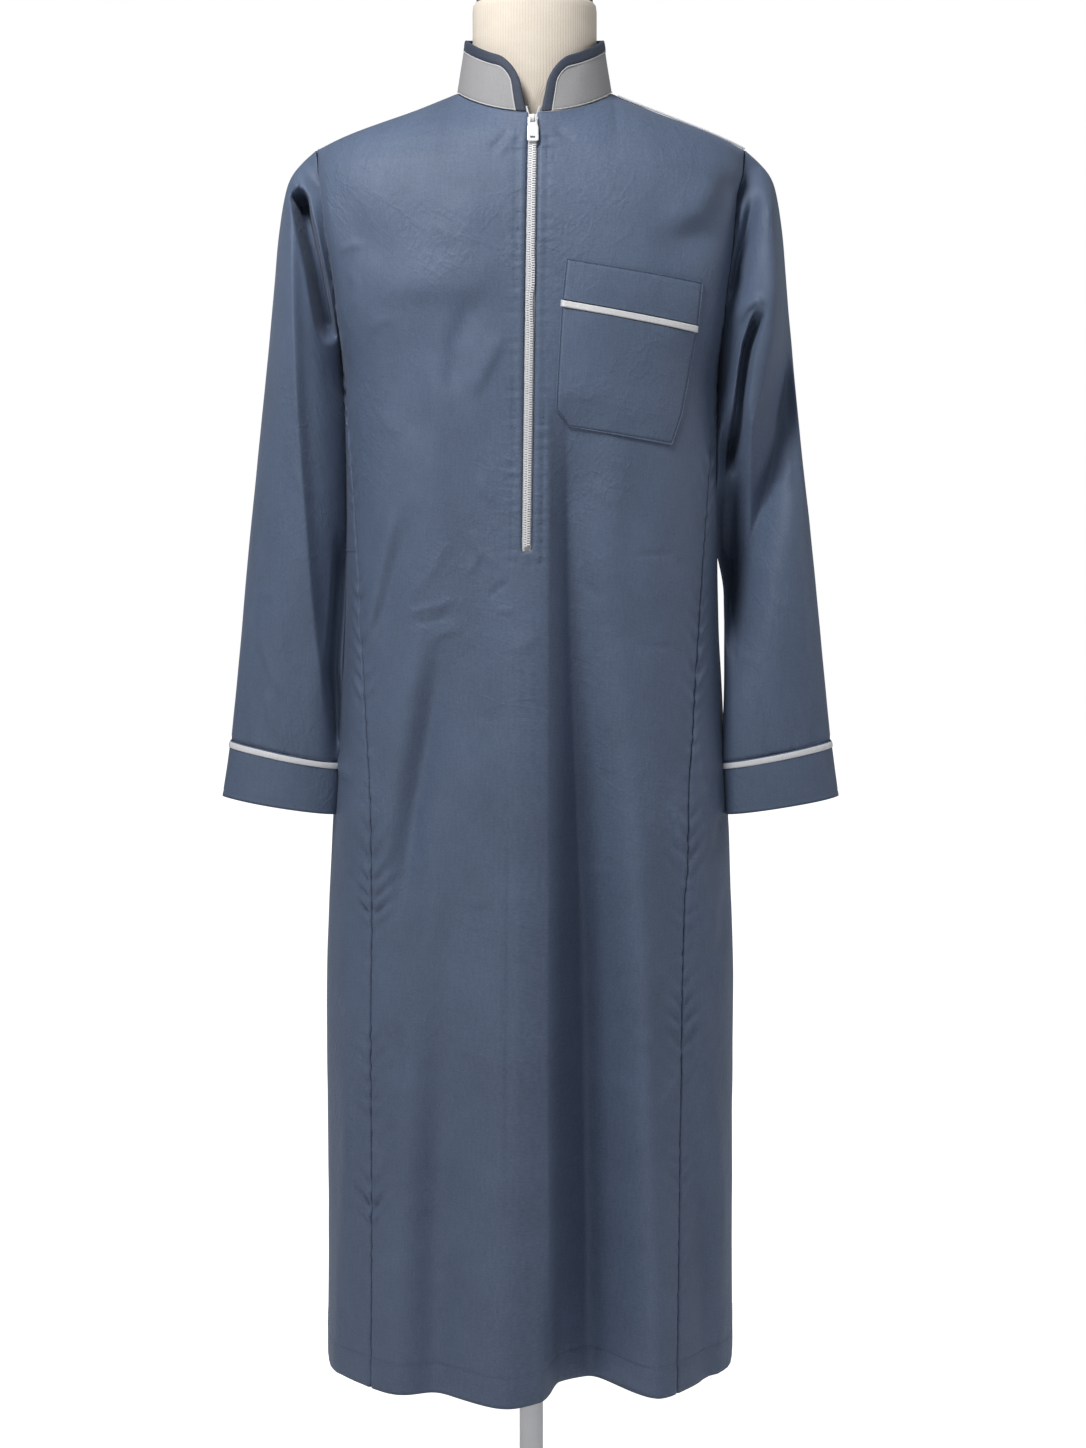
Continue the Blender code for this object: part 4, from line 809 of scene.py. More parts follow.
def crease_group():
    """Faint pressed creases that slant over the cloth, broken, and come and go in patches."""
    group, entry, leave, do = pattern_group("faint_creases")
    slant = node(group, "ShaderNodeVectorRotate", rotation_type="Z_AXIS", Angle=0.55)
    group.links.new(entry["Pattern"], slant.inputs["Vector"])
    rise = 0.0
    for across, along in ((13.0, 38.0), (42.0, 20.0)):
        cloudy = streaks(group, slant.outputs["Vector"], across, along)
        off = do("ABSOLUTE", do("SUBTRACT", cloudy, 0.5))
        line = do("SUBTRACT", 1.0, do("MULTIPLY", off, 16.0))
        rise = do("ADD", rise, do("MAXIMUM", line, 0.0))
    patches = do("SUBTRACT", streaks(group, entry["Pattern"], 9.0, 7.0), 0.44)
    shown = do("MINIMUM", do("MAXIMUM", do("MULTIPLY", patches, 7.0), 0.0), 1.0)
    group.links.new(do("MULTIPLY", rise, shown), leave["Height"])
    return group


CREASED = crease_group()
WEAVE = weave_group()


def new_material(name, roughness):
    """A material with nodes, its tree and its shader."""
    made = bpy.data.materials.new(name)
    made.use_nodes = True
    return made, made.node_tree, tune(made.node_tree.nodes["Principled BSDF"], Roughness=roughness)


def two_shades(tree, shader, share, low, high):
    """Colour a shader between two shades by a value."""
    blend = node(tree, "ShaderNodeMix", data_type="RGBA", A=(*low, 1.0), B=(*high, 1.0))
    tree.links.new(share, blend.inputs["Factor"])
    tree.links.new(blend.outputs["Result"], shader.inputs["Base Color"])


def bumped(tree, height, strength, depth, into):
    """Bump from a height, put into a normal socket."""
    bump = node(tree, "ShaderNodeBump", Strength=strength, Distance=depth)
    tree.links.new(height, bump.inputs["Height"])
    tree.links.new(bump.outputs["Normal"], into)
    return bump


def cloth_finish(
    name, low, high, roughness, sheen, threads, depth, tint=(0.75, 0.82, 1.0), group=WEAVE, creased=0.0,
):
    """Woven cloth whose colour runs between two shades with its yarn."""
    made, tree, shader = new_material(name, roughness)
    tune(shader, Specular_IOR_Level=0.35, Sheen_Weight=sheen, Sheen_Roughness=0.35)
    tune(shader, Sheen_Tint=(*tint, 1.0))
    place = node(tree, "ShaderNodeUVMap", uv_map="pattern")
    weave = node(tree, "ShaderNodeGroup", node_tree=group, Threads_per_metre=threads)
    tree.links.new(place.outputs["UV"], weave.inputs["Pattern"])
    two_shades(tree, shader, weave.outputs["Shade"], low, high)
    bump = bumped(tree, weave.outputs["Height"], 0.35, depth, shader.inputs["Normal"])
    if creased:
        folds = node(tree, "ShaderNodeGroup", node_tree=CREASED)
        tree.links.new(place.outputs["UV"], folds.inputs["Pattern"])
        bumped(tree, folds.outputs["Height"], 0.6, creased, bump.inputs["Normal"])
    return made


SLATE = cloth_finish(
    "slate_weave", (0.069, 0.094, 0.148), (0.109, 0.149, 0.233), 0.56, 0.12, 2300.0, 0.00010, creased=0.0004,
)


def finish(made, material, body="garment", replaces=()):
    """Give a piece its material and its body, and hide the nodes that it stands for."""
    made.data.materials.clear()
    made.data.materials.append(material)
    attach(made, body)
    if replaces:
        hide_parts(*replaces)
    return made


def away_from(x, y):
    """The outward test of a piece that lies round an upright line."""
    def outward(face):
        middle = face.calc_center_median()
        return Vector((middle.x - x, middle.y - y, 0.0))
    return outward


front_outward = away_from(0.0, 0.02)
back_outward = away_from(0.0, -0.02)
ROWS = body_rows()
TURN_ROWS = 6
SHARES = [share**1.25 for share in graded(0.0, ((0.32, 29), (0.82, 20), (1.0, 15)))]


def turned_up(row, rows):
    """The level height of a row and how far inside it lies: the first rows are the turned-up hem."""
    if row >= TURN_ROWS:
        return rows[row - TURN_ROWS], 0.0
    up = (TURN_ROWS - row) / TURN_ROWS
    return HEM + TURN_UP * up, 0.0011


def hem_stitch(z):
    """The shallow line that the hem's stitches draw in the cloth."""
    return -0.0005 * bell(z - HEM - TURN_UP, 0.0026)


def slot_across(side, height):
    """Across value of the edge of the zip's slot."""
    low, high = 0.0, 0.1
    for _ in range(18):
        middle = (low + high) / 2
        point = cloth("front", side * middle, height)
        if side * (point.x - zip_x(point.z)) < SLOT / 2:
            low = middle
        else:
            high = middle
    return low


SLOT_EDGES = {(side, height): slot_across(side, height) for side in (-1, 1) for height in ROWS}


def front_point(column, row):
    """Point of the front; its columns run from the left seam to the slot and on to the right seam."""
    height, inside = turned_up(row, ROWS)
    half = len(SHARES)
    side = -1 if column < half else 1
    step = half - 1 - column if side < 0 else column - half
    slot_edge = SLOT_EDGES.get((side, height)) or SLOT_EDGES[(side, ROWS[0])]
    edge = princess(side, height)
    across = side * (slot_edge + (edge - slot_edge) * SHARES[step])
    point = cloth("front", across, height + hem_rise(across, height))
    away = (edge - abs(across)) * HALF_CLOTH
    steep = bell(point.x - STEEP_X, STEEP_HALF)
    push = hem_stitch(height) - inside * (1 + 3 * steep)
    if height > SEAM_START:
        push += seam_pucker(7.0, away, point.z, 0.35, 0.0006)
    else:
        push += side_pucker(side, away, point.z)
    if step == half - 1:
        push -= SEAM_DIP
    if step == 0:
        push -= 0.0028 * ease(ZIP_FOOT - 0.004, ZIP_FOOT + 0.002, point.z)
    return point + outwards(point, 0.35) * push * calm(height), (across * PATTERN_HALF, height)


def in_slot(column, row):
    """Whether a face lies in the slot that the zip fills."""
    height, _ = turned_up(row, ROWS)
    return column == len(SHARES) - 1 and row >= TURN_ROWS and height >= ZIP_FOOT - 0.003


columns, rows = 2 * len(SHARES) - 1, len(ROWS) + TURN_ROWS - 1
front = shell("front_cloth", columns, rows, front_point, front_outward, skip=in_slot)
finish(front, SLATE, replaces=["front_panel"])

# Side fronts
# A narrow piece on each side of the front, joined to it by the long princess seam, with the small
# gathers of that seam, a bar tack at each end of the pocket opening, and a slit above the hem.
SIDES = (("left", -1), ("right", 1))
SIDE_ROWS = body_rows(SEAM_START)
SIDE_SHARES = packed(18, 0.7)


def side_front(label, side):
    def point(column, row):
        height, inside = turned_up(row, SIDE_ROWS)
        far = 1.0 if height > ARMPIT else side_edge(height)
        near = min(princess(side, height), far - 0.003)
        across = near + (far - near) * SIDE_SHARES[column]
        made = cloth("front", side * across, height + hem_rise(across, height))
        push = side_pucker(side, (across - near) * HALF_CLOTH, made.z) + hem_stitch(height) - inside
        if column == 0:
            push -= SEAM_DIP
        return made + outwards(made, 0.6) * push, (side * across * PATTERN_HALF, height)

    columns, rows = len(SIDE_SHARES) - 1, len(SIDE_ROWS) + TURN_ROWS - 1
    made = shell(f"side_front_cloth_{label}", columns, rows, point, front_outward)
    finish(made, SLATE, replaces=[f"side_front_{label}"])


for label, side in SIDES:
    side_front(label, side)

# Back
# One wide piece of the same cloth from the collar and shoulders to the hem, sewn to the front at the
# shoulders and sides, and hanging in a few long soft folds.
BACK_HALF = 48


def back_point(column, row):
    height, inside = turned_up(row, ROWS)
    side = -1 if column < BACK_HALF else 1
    edge = 1.0 if height > ARMPIT else side_edge(height)
    share = math.sin(abs(column - BACK_HALF) / BACK_HALF * math.pi / 2) ** 0.9
    across = side * edge * share
    point = cloth("back", across, height)
    push = hem_stitch(height) - inside
    if height > ARMPIT:
        away = (edge - abs(across)) * HALF_CLOTH
        push += seam_pucker(4.0, away, point.z, 0.4, 0.0006) * calm(height)
    return point + outwards(point, 0.5) * push, (across * PATTERN_HALF, height)


back = shell("back_cloth", 2 * BACK_HALF, len(ROWS) + TURN_ROWS - 1, back_point, back_outward)
finish(back, SLATE, replaces=["back_panel"])

# Sleeves
# Long tapered tubes of the same cloth, set into the armholes and pressed flat, so that a sharp crease
# runs down each; the left one has a deep tuck under the shoulder and the right one a rolled fold.
Sleeve = namedtuple("Sleeve", "outer_x outer_z inner_x inner_z middle_y front back")
SLEEVE = (
    Sleeve(0.2330, 1.4290, 0.1928, 1.1950, -0.001, 0.060, 0.066),
    Sleeve(0.2460, 1.4100, 0.1934, 1.1840, -0.002, 0.066, 0.072),
    Sleeve(0.2555, 1.3600, 0.1940, 1.1660, -0.004, 0.070, 0.076),
    Sleeve(0.2615, 1.2950, 0.1946, 1.1420, -0.007, 0.071, 0.077),
    Sleeve(0.2690, 1.2180, 0.1952, 1.1080, -0.011, 0.068, 0.074),
    Sleeve(0.2780, 1.1280, 0.1960, 1.0560, -0.017, 0.062, 0.066),
    Sleeve(0.2885, 1.0300, 0.1966, 0.9900, -0.025, 0.053, 0.056),
    Sleeve(0.2975, 0.9400, 0.1972, 0.9140, -0.034, 0.041, 0.043),
    Sleeve(0.3070, 0.8440, 0.1990, 0.8210, -0.044, 0.028, 0.030),
)
CUFF_FOOT = Sleeve(0.3152, 0.7870, 0.2025, 0.7680, -0.048, 0.027, 0.029)
FOLDS += [
    Fold("left_front", 1.430, -0.240, 0.800, -0.203, -0.007, 0.030, 0.007, 0.0110, 0.10),
    Fold("left_front", 1.085, -0.186, 0.790, -0.192, -0.008, 0.009, 0.010, -0.0120, 0.07),
    Fold("left_back", 1.330, -0.230, 0.860, -0.240, 0.010, 0.014, 0.020, -0.0140, 0.12),
    Fold("left_back", 1.250, -0.215, 0.900, -0.220, 0.000, 0.012, 0.010, 0.0060, 0.12),
    Fold("right_front", 1.412, 0.230, 1.270, 0.201, 0.000, 0.009, 0.007, -0.0120, 0.04),
    Fold("right_back", 1.340, 0.232, 0.880, 0.246, -0.008, 0.018, 0.013, -0.0130, 0.12),
    Fold("right_back", 1.240, 0.216, 0.920, 0.222, 0.000, 0.010, 0.012, 0.0060, 0.12),
]
CREASES["left_front"] = (
    # The pressed crease down the middle: a crisp edge that the cloth falls away from on both sides
    Crease(
        [(-0.240, 1.396), (-0.2375, 1.340), (-0.2354, 1.266), (-0.2313, 1.168), (-0.2249, 1.088),
         (-0.2178, 0.977), (-0.2112, 0.915), (-0.2070, 0.870)],
        0.016, 0.022, 0.0085, 0.04, 0.12, 1.1,
    ),
    # The deep tuck below the shoulder: a narrow dark slot
    Crease(
        [(-0.2372, 1.400), (-0.2305, 1.386), (-0.2225, 1.352), (-0.2150, 1.317), (-0.2100, 1.287),
         (-0.2055, 1.262), (-0.2000, 1.243)],
        0.0068, 0.0068, -0.0480, 0.10, 0.16, 4.0,
    ),
    Crease([(-0.2420, 1.408), (-0.2370, 1.404), (-0.2310, 1.402)], 0.003, 0.004, 0.0030),
    Crease([(-0.2220, 1.392), (-0.2120, 1.340), (-0.2030, 1.300)], 0.006, 0.006, 0.0030),
    # The second fold, over the inner side
    Crease(
        [(-0.1930, 1.060), (-0.1965, 1.020), (-0.1990, 0.975), (-0.2040, 0.916), (-0.1995, 0.872),
         (-0.1960, 0.830)],
        0.0035, 0.0085, -0.0220, 0.15, 0.1, 4.0,
    ),
    Crease(
        [(-0.1985, 1.040), (-0.2020, 1.000), (-0.2055, 0.960), (-0.2100, 0.916), (-0.2055, 0.872),
         (-0.2020, 0.832)],
        0.0030, 0.0026, 0.0024, 0.1, 0.1, 1.15,
    ),
    # Soft unevenness of the long outer part
    Crease([(-0.262, 1.300), (-0.262, 1.200), (-0.256, 1.080)], 0.012, 0.012, -0.0024),
    Crease([(-0.270, 0.900), (-0.258, 0.860), (-0.240, 0.840)], 0.006, 0.006, 0.0022),
    Crease([(-0.276, 0.955), (-0.262, 0.912), (-0.244, 0.884)], 0.003, 0.004, 0.0016, power=1.15),
    Crease([(-0.234, 1.120), (-0.228, 1.100), (-0.214, 1.090)], 0.003, 0.004, 0.0016, power=1.15),
    Crease([(-0.286, 0.990), (-0.270, 0.994), (-0.254, 0.990)], 0.003, 0.004, 0.0012, power=1.15),
)
CREASES["right_front"] = (
    # The rolled fold that runs from the shoulder in to the body: lit on its left, then a steep fall
    Crease(
        [(0.2385, 1.424), (0.2405, 1.380), (0.2435, 1.342), (0.2430, 1.295), (0.2415, 1.257),
         (0.2335, 1.207), (0.2235, 1.169), (0.2090, 1.122), (0.1960, 1.080)],
        0.022, 0.014, 0.0190, 0.15, 0.1, 1.5,
    ),
    Crease(
        [(0.2560, 1.410), (0.2600, 1.380), (0.2630, 1.342), (0.2640, 1.295), (0.2630, 1.257),
         (0.2580, 1.220)],
        0.0120, 0.030, -0.0130, 0.15, 0.4, 1.8,
    ),
    Crease(
        [(0.2660, 1.300), (0.2590, 1.215), (0.2530, 1.160), (0.2440, 1.110), (0.2300, 1.065),
         (0.2170, 1.025), (0.2110, 0.970), (0.2070, 0.915), (0.2040, 0.870)],
        0.0400, 0.0240, -0.0520, 0.30, 0.40, 1.3,
    ),
    # The arch above the elbow side, and the dark hollow under it
    Crease([(0.2080, 1.262), (0.2140, 1.279), (0.2240, 1.285), (0.2330, 1.276)], 0.0040, 0.0050, 0.0060),
    Crease(
        [(0.2290, 1.276), (0.2240, 1.262), (0.2180, 1.243), (0.2145, 1.220), (0.2110, 1.190),
         (0.2070, 1.150), (0.2020, 1.110)],
        0.0048, 0.0055, -0.0300, 0.10, 0.2, 4.0,
    ),
    Crease(
        [(0.2250, 1.400), (0.2170, 1.356), (0.2070, 1.322), (0.2020, 1.290)],
        0.005, 0.005, -0.0080, 0.3, 0.2,
    ),
    # The inner side, fallen back behind the body
    Crease(
        [(0.2080, 1.190), (0.2050, 1.140), (0.2040, 1.080), (0.2030, 1.030), (0.2010, 0.970),
         (0.2000, 0.920)],
        0.012, 0.013, -0.0420, 0.2, 0.35, 3.0,
    ),
    Crease(
        [(0.2040, 0.960), (0.2080, 0.940), (0.2150, 0.928), (0.2400, 0.926)],
        0.003, 0.004, 0.0016, 0.3, 0.5, 1.15,
    ),
    Crease([(0.256, 1.060), (0.262, 0.960), (0.270, 0.860)], 0.014, 0.014, -0.0024),
    Crease([(0.268, 1.130), (0.258, 1.106), (0.244, 1.094)], 0.006, 0.006, 0.0018),
    Crease([(0.236, 0.990), (0.252, 0.982), (0.272, 0.984)], 0.003, 0.004, 0.0010, power=1.15),
)

# How far each sleeve leans in towards the body's side, by height, before and behind its middle
Lean = namedtuple("Lean", "height left_front left_back right_front right_back")
LEANS = (
    Lean(0.750, 0.000, 0.004, 0.000, 0.000),
    Lean(0.820, -0.002, 0.008, 0.000, 0.000),
    Lean(0.915, -0.013, 0.013, 0.000, 0.000),
    Lean(1.000, -0.006, 0.015, 0.000, 0.000),
    Lean(1.060, 0.003, 0.015, 0.006, 0.004),
    Lean(1.120, 0.006, 0.013, 0.009, 0.011),
    Lean(1.200, 0.003, 0.006, 0.005, 0.006),
    Lean(1.260, 0.000, 0.000, 0.000, 0.000),
)

# How near each sleeve's inner edge comes to the body, by height
Closing = namedtuple("Closing", "height left right")
CLOSINGS = (
    Closing(0.780, 0.0030, 0.0030),
    Closing(0.830, 0.0040, 0.0030),
    Closing(0.885, 0.0070, 0.0030),
    Closing(0.943, 0.0090, -0.0040),
    Closing(0.990, 0.0100, -0.0010),
    Closing(1.020, 0.0105, 0.0070),
    Closing(1.056, 0.0110, 0.0100),
    Closing(1.120, 0.0100, 0.0105),
    Closing(1.166, 0.0080, 0.0080),
    Closing(1.210, 0.0020, 0.0020),
)


def armhole(turn):
    """Point of the +X armhole: turn is 0 at the shoulder, 0.5 at the armpit, and runs round by the front."""
    share = 1 - 2 * turn if turn <= 0.5 else 2 * turn - 1
    return cloth("front" if turn <= 0.5 else "back", 1.0, ARMPIT + (SHOULDER_TIP - ARMPIT) * share)


def facing_name(side, facing):
    """Name of the front or back half of a sleeve, as its folds are listed under."""
    return ("left" if side < 0 else "right") + ("_front" if facing > 0 else "_back")


def sleeve_section(section, turn, side, ease_out=0.0):
    """Point of a sleeve section, as on the +X side: turn is 0 outward, 0.25 forward, 0.5 inward."""
    angle = turn * 2 * math.pi
    facing = math.sin(angle)
    outer = Vector((section.outer_x + ease_out, section.middle_y, section.outer_z))
    inner = Vector((section.inner_x - ease_out, section.middle_y, section.inner_z))
    point = (outer + inner) / 2 + (outer - inner) / 2 * math.cos(angle)
    point.y -= ((section.front if facing > 0 else section.back) + ease_out) * facing
    lean = read(LEANS, facing_name(side, facing), point.z) * facing**2
    point.x -= lean * ease(-0.5, 0.5, -math.cos(angle))
    closing = read(CLOSINGS, "left" if side < 0 else "right", point.z)
    point.x -= closing * ((1 - math.cos(angle)) / 2) ** 3
    return point


STARTS = {}


def section_points(turn, side):
    """Points of the armhole and of each section of a sleeve, at one turn."""
    if (turn, side) not in STARTS:
        points = [armhole(turn) + Vector((0.0004, 0, 0))]
        STARTS[turn, side] = points + [sleeve_section(section, turn, side) for section in SLEEVE]
    return STARTS[turn, side]


def sleeve_point(turn, along, side):
    """Outer point of a sleeve: along is 0 at the armhole and 1 at the cuff seam."""
    steps = len(SLEEVE)
    near = min(range(steps + 1), key=lambda k: abs(k / steps - along))
    chosen = range(max(near - 2, 0), min(near + 3, steps + 1))
    points = section_points(turn, side)[chosen[0] : chosen[-1] + 1]
    knots = [k / steps for k in chosen]
    point = Vector([glide(knots, [p[axis] for p in points], along) for axis in range(3)])
    facing = math.sin(turn * 2 * math.pi)
    push = fold_offset(facing_name(side, facing), point.x * side, point.z)
    push *= ease(0.0, 0.70, abs(facing)) * ease(0.0, 0.05, along)
    hang = drape(point.x * side + side, point.y, point.z) * ease(0.0, 0.2, along)
    section = SLEEVE[max(chosen[0], 1) - 1]
    middle_x = (section.outer_x + section.inner_x) / 2
    outward = Vector((point.x - middle_x, point.y - section.middle_y, 0)).normalized()
    point += outward * hang
    point.y -= math.copysign(1.0, facing) * push
    return Vector((point.x * side, point.y, point.z)), Vector((outward.x * side, outward.y, 0))


def tube_outward(face):
    """Direction from the middle line of a sleeve and its cuff to a face."""
    middle = face.calc_center_median()
    sections = SLEEVE + (CUFF_FOOT,)
    knots = [-(section.outer_z + section.inner_z) / 2 for section in sections]
    across = [(section.outer_x + section.inner_x) / 2 for section in sections]
    x = math.copysign(glide(knots, across, -middle.z), middle.x)
    deep = glide(knots, [section.middle_y for section in sections], -middle.z)
    return middle - Vector((x, deep, min(middle.z, 1.33)))


FRONT_ROUND = 118
ROUND = 166
SLEEVE_ROWS = 200
SLEEVE_LENGTH = 0.60
SLEEVE_WIDTH = 0.42


def turn_at(column):
    """The turn of a sleeve's column: most of them lie on its front."""
    column = column % ROUND
    if column < FRONT_ROUND:
        return 0.5 * column / FRONT_ROUND
    return 0.5 + 0.5 * (column - FRONT_ROUND) / (ROUND - FRONT_ROUND)


ALONGS = [(k / SLEEVE_ROWS) ** 1.12 for k in range(SLEEVE_ROWS + 1)]


def sleeve(label, side):
    def point(column, row):
        turn = turn_at(column)
        along = ALONGS[max(row - 1, 0)]
        made, outward = sleeve_point(turn, along, side)
        push = seam_pucker(11.0 + side, along * SLEEVE_LENGTH, turn * 0.5, 0.9, 0.0006)
        push += seam_pucker(15.0 + side, (1 - along) * SLEEVE_LENGTH, turn * 0.3, 0.3, 0.0006)
        if row == 0:
            push -= SEAM_DIP
        return made + outward * push, (column / ROUND * SLEEVE_WIDTH, along * SLEEVE_LENGTH)

    made = shell(f"sleeve_cloth_{label}", ROUND, SLEEVE_ROWS + 1, point, tube_outward, closed=True)
    finish(made, SLATE, replaces=[f"sleeve_{label}"])


for label, side in SIDES:
    sleeve(label, side)

# Cuffs and their piping
# A straight double band of cloth round the foot of each sleeve, with a flat off-white satin piping
# caught in its top seam.
PLAIN_TINT = (1.0, 1.0, 1.0)
PIPING_FINISH = cloth_finish(
    "white_satin", (0.60, 0.60, 0.62), (0.78, 0.78, 0.79), 0.38, 0.20, 3000.0, 0.00006, PLAIN_TINT,
)
CUFF_LENGTH = SLEEVE[-1].outer_z - CUFF_FOOT.outer_z
CUFF_WIDTH = 0.28
CUFF_ROWS = 26
TURN_IN = 5
PIPING_ROWS = 8


def cuff_point(turn, along, side, ease_out):
    """Outer point of a cuff: along is 0 at its seam and 1 at its foot."""
    top = sleeve_section(SLEEVE[-1], turn, side, ease_out)
    foot = sleeve_section(CUFF_FOOT, turn, side, ease_out)
    made = top + (foot - top) * along
    return Vector((made.x * side, made.y, made.z))


def cuff(label, side):
    def point(column, row):
        turn = turn_at(column)
        turned = max(row - CUFF_ROWS + TURN_IN, 0)
        along = 1 - 0.5 * turned / TURN_IN if turned else row / (CUFF_ROWS - TURN_IN)
        inset = 0.0016 if turned else 0.0
        groove = 0.00035 * bell((1 - along) * CUFF_LENGTH - 0.005, 0.0013)
        wave = 0.0009 * cloud(turn * 9 + side * 3, along * 1.5, 2.0)
        made = cuff_point(turn, along, side, wave - inset - groove)
        return made, (column / ROUND * CUFF_WIDTH, along * CUFF_LENGTH)

    made = shell(f"cuff_cloth_{label}", ROUND, CUFF_ROWS, point, tube_outward, closed=True)
    finish(made, SLATE, replaces=[f"cuff_{label}"])


def cuff_piping(label, side):
    def point(column, row):
        turn = turn_at(column)
        angle = row / PIPING_ROWS * math.pi
        along = 0.02 + 0.0062 / CUFF_LENGTH * (1 - math.cos(angle)) / 2
        swell = 0.0002 + 0.0010 * math.sin(angle) ** 0.6
        swell += 0.0002 * cloud(turn * 60, side, row * 0.4)
        pattern = (column / ROUND * CUFF_WIDTH, row / PIPING_ROWS * 0.0095)
        return cuff_point(turn, along, side, swell), pattern

    made = shell(f"cuff_satin_{label}", ROUND, PIPING_ROWS, point, tube_outward, closed=True, wall=0.0006)
    finish(made, PIPING_FINISH, replaces=[f"cuff_piping_{label}"])


for label, side in SIDES:
    cuff(label, side)
    cuff_piping(label, side)

# Shoulder piping
# A thin off-white satin piping, folded round a strip of cloth and sewn into each shoulder seam from
# the collar to the armhole.
def coat(name, material):
    """Give a node of the frame its material."""
    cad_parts[name].data.materials.clear()
    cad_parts[name].data.materials.append(material)


for label, side in SIDES:
    coat(f"shoulder_piping_{label}", PIPING_FINISH)

# Collar
# A low stand-up band of light grey cotton over a firm interlining, with a dark bias binding folded
# over its top and front edges and rounded front corners.
COLLAR_HEIGHT = 0.052
COLLAR_CORNER = 0.026
BINDING = 0.0100
COLLAR_FINISH = cloth_finish(
    "grey_cotton", (0.270, 0.266, 0.272), (0.345, 0.340, 0.347), 0.70, 0.10, 2100.0, 0.00008, PLAIN_TINT,
)
BINDING_FINISH = cloth_finish(
    "navy_bias", (0.026, 0.033, 0.053), (0.050, 0.063, 0.096), 0.62, 0.12, 2300.0, 0.00010,
)
NECK_START = 0.0085
NECK_END = 0.0070
collar_loop = []
for k in range(97):
    turn = 4 * k / 96
    foot = neckline(turn if turn <= 2 else 4 - turn)
    collar_loop.append(Vector((2 * NECK_SHIFT - foot.x if turn <= 2 else foot.x, foot.y, foot.z)))
COLLAR_LENGTHS = running((after - before).length for before, after in zip(collar_loop, collar_loop[1:]))
COLLAR_TOTAL = COLLAR_LENGTHS[-1] - NECK_START - NECK_END
COLLAR_RUNS = [[place[axis] for place in collar_loop] for axis in range(3)]


def collar_point(along, height, proud=0.0):
    """Point of the collar's outer face: along is measured on the neckline from its left front end."""
    share = height / COLLAR_HEIGHT
    spread = 0.012 * share
    at = NECK_START + spread + (COLLAR_TOTAL - 2 * spread) * along / COLLAR_TOTAL
    x, y, z = (glide(COLLAR_LENGTHS, run, at) for run in COLLAR_RUNS)
    inward = Vector((NECK_SHIFT - x, -0.006 - y, 0)).normalized()
    return Vector((x, y, z + 0.0008 + height)) + inward * (0.0085 * share - proud)


def corner_height(along, inset):
    """Height of the collar's edge at a distance from its front end, inset from the outline."""
    corner = COLLAR_CORNER - inset
    reach = min(max(along - inset, 0.0), corner)
    return COLLAR_HEIGHT - COLLAR_CORNER + math.sqrt(max(corner**2 - (corner - reach) ** 2, 0.0))


collar_outward = away_from(NECK_SHIFT, 0.0)
near_end = [BINDING + (COLLAR_CORNER - BINDING) * (1 - math.cos(k / 14 * math.pi / 2)) for k in range(15)]
BAND_PLACES = near_end + between(COLLAR_CORNER, COLLAR_TOTAL - COLLAR_CORNER, 110)[1:-1]
BAND_PLACES += [COLLAR_TOTAL - place for place in reversed(near_end)]


def band_point(column, row):
    along = BAND_PLACES[column]
    height = corner_height(min(along, COLLAR_TOTAL - along), BINDING) * row / 16
    wave = 0.0006 * cloud(along * 40, height * 20, 4.0)
    edge = 0.0006 * bell(height, 0.0014)
    return collar_point(along, height, wave - edge), (along, height)


band = shell("collar_cloth", len(BAND_PLACES) - 1, 16, band_point, collar_outward, wall=0.0014)
finish(band, COLLAR_FINISH, replaces=["collar_band"])

outline, inline = [], []
straight = COLLAR_HEIGHT - COLLAR_CORNER
for k in range(16):
    outline.append((0.0, straight * k / 16))
    inline.append((BINDING, straight * k / 16))
for k in range(25):
    angle = k / 24 * math.pi / 2
    for ring, corner in ((outline, COLLAR_CORNER), (inline, COLLAR_CORNER - BINDING)):
        ring.append((COLLAR_CORNER - corner * math.cos(angle), straight + corner * math.sin(angle)))
for along in between(COLLAR_CORNER, COLLAR_TOTAL / 2, 60)[1:]:
    outline.append((along, COLLAR_HEIGHT))
    inline.append((along, COLLAR_HEIGHT - BINDING))
outline += [(COLLAR_TOTAL - along, height) for along, height in reversed(outline[:-1])]
inline += [(COLLAR_TOTAL - along, height) for along, height in reversed(inline[:-1])]
BINDING_ROWS = (
    (0.0, 0.0002), (0.06, 0.0007), (0.35, 0.0008), (0.70, 0.0008), (0.93, 0.0007), (1.02, 0.0000),
    (1.03, -0.0008), (1.0, -0.0018), (0.90, -0.0022), (0.40, -0.0022), (0.0, -0.0020),
)


def on_binding(column, share):
    """Place on the binding: share is 0 at its stitched edge and 1 on the collar's outline."""
    near, far = inline[column], outline[column]
    return near[0] + (far[0] - near[0]) * share, near[1] + (far[1] - near[1]) * share


def binding_point(column, row):
    share, proud = BINDING_ROWS[row]
    wave = 0.0003 * cloud(column * 0.35, share * 2, 7.0)
    pattern = (column * 0.003, share * BINDING + (0.012 if row > 5 else 0))
    return collar_point(*on_binding(column, share), proud + wave), pattern


columns, rows = len(outline) - 1, len(BINDING_ROWS) - 1
binding = shell("collar_bias", columns, rows, binding_point, collar_outward, wall=0.0004)
finish(binding, BINDING_FINISH, replaces=["collar_binding"])

# The light edges at the collar's foot and under its binding
EDGE_FINISH = cloth_finish(
    "light_edge", (0.42, 0.42, 0.42), (0.54, 0.54, 0.55), 0.6, 0.10, 3000.0, 0.00005, PLAIN_TINT,
)
EDGE_SHARES = (-0.16, -0.12, -0.06, -0.02)


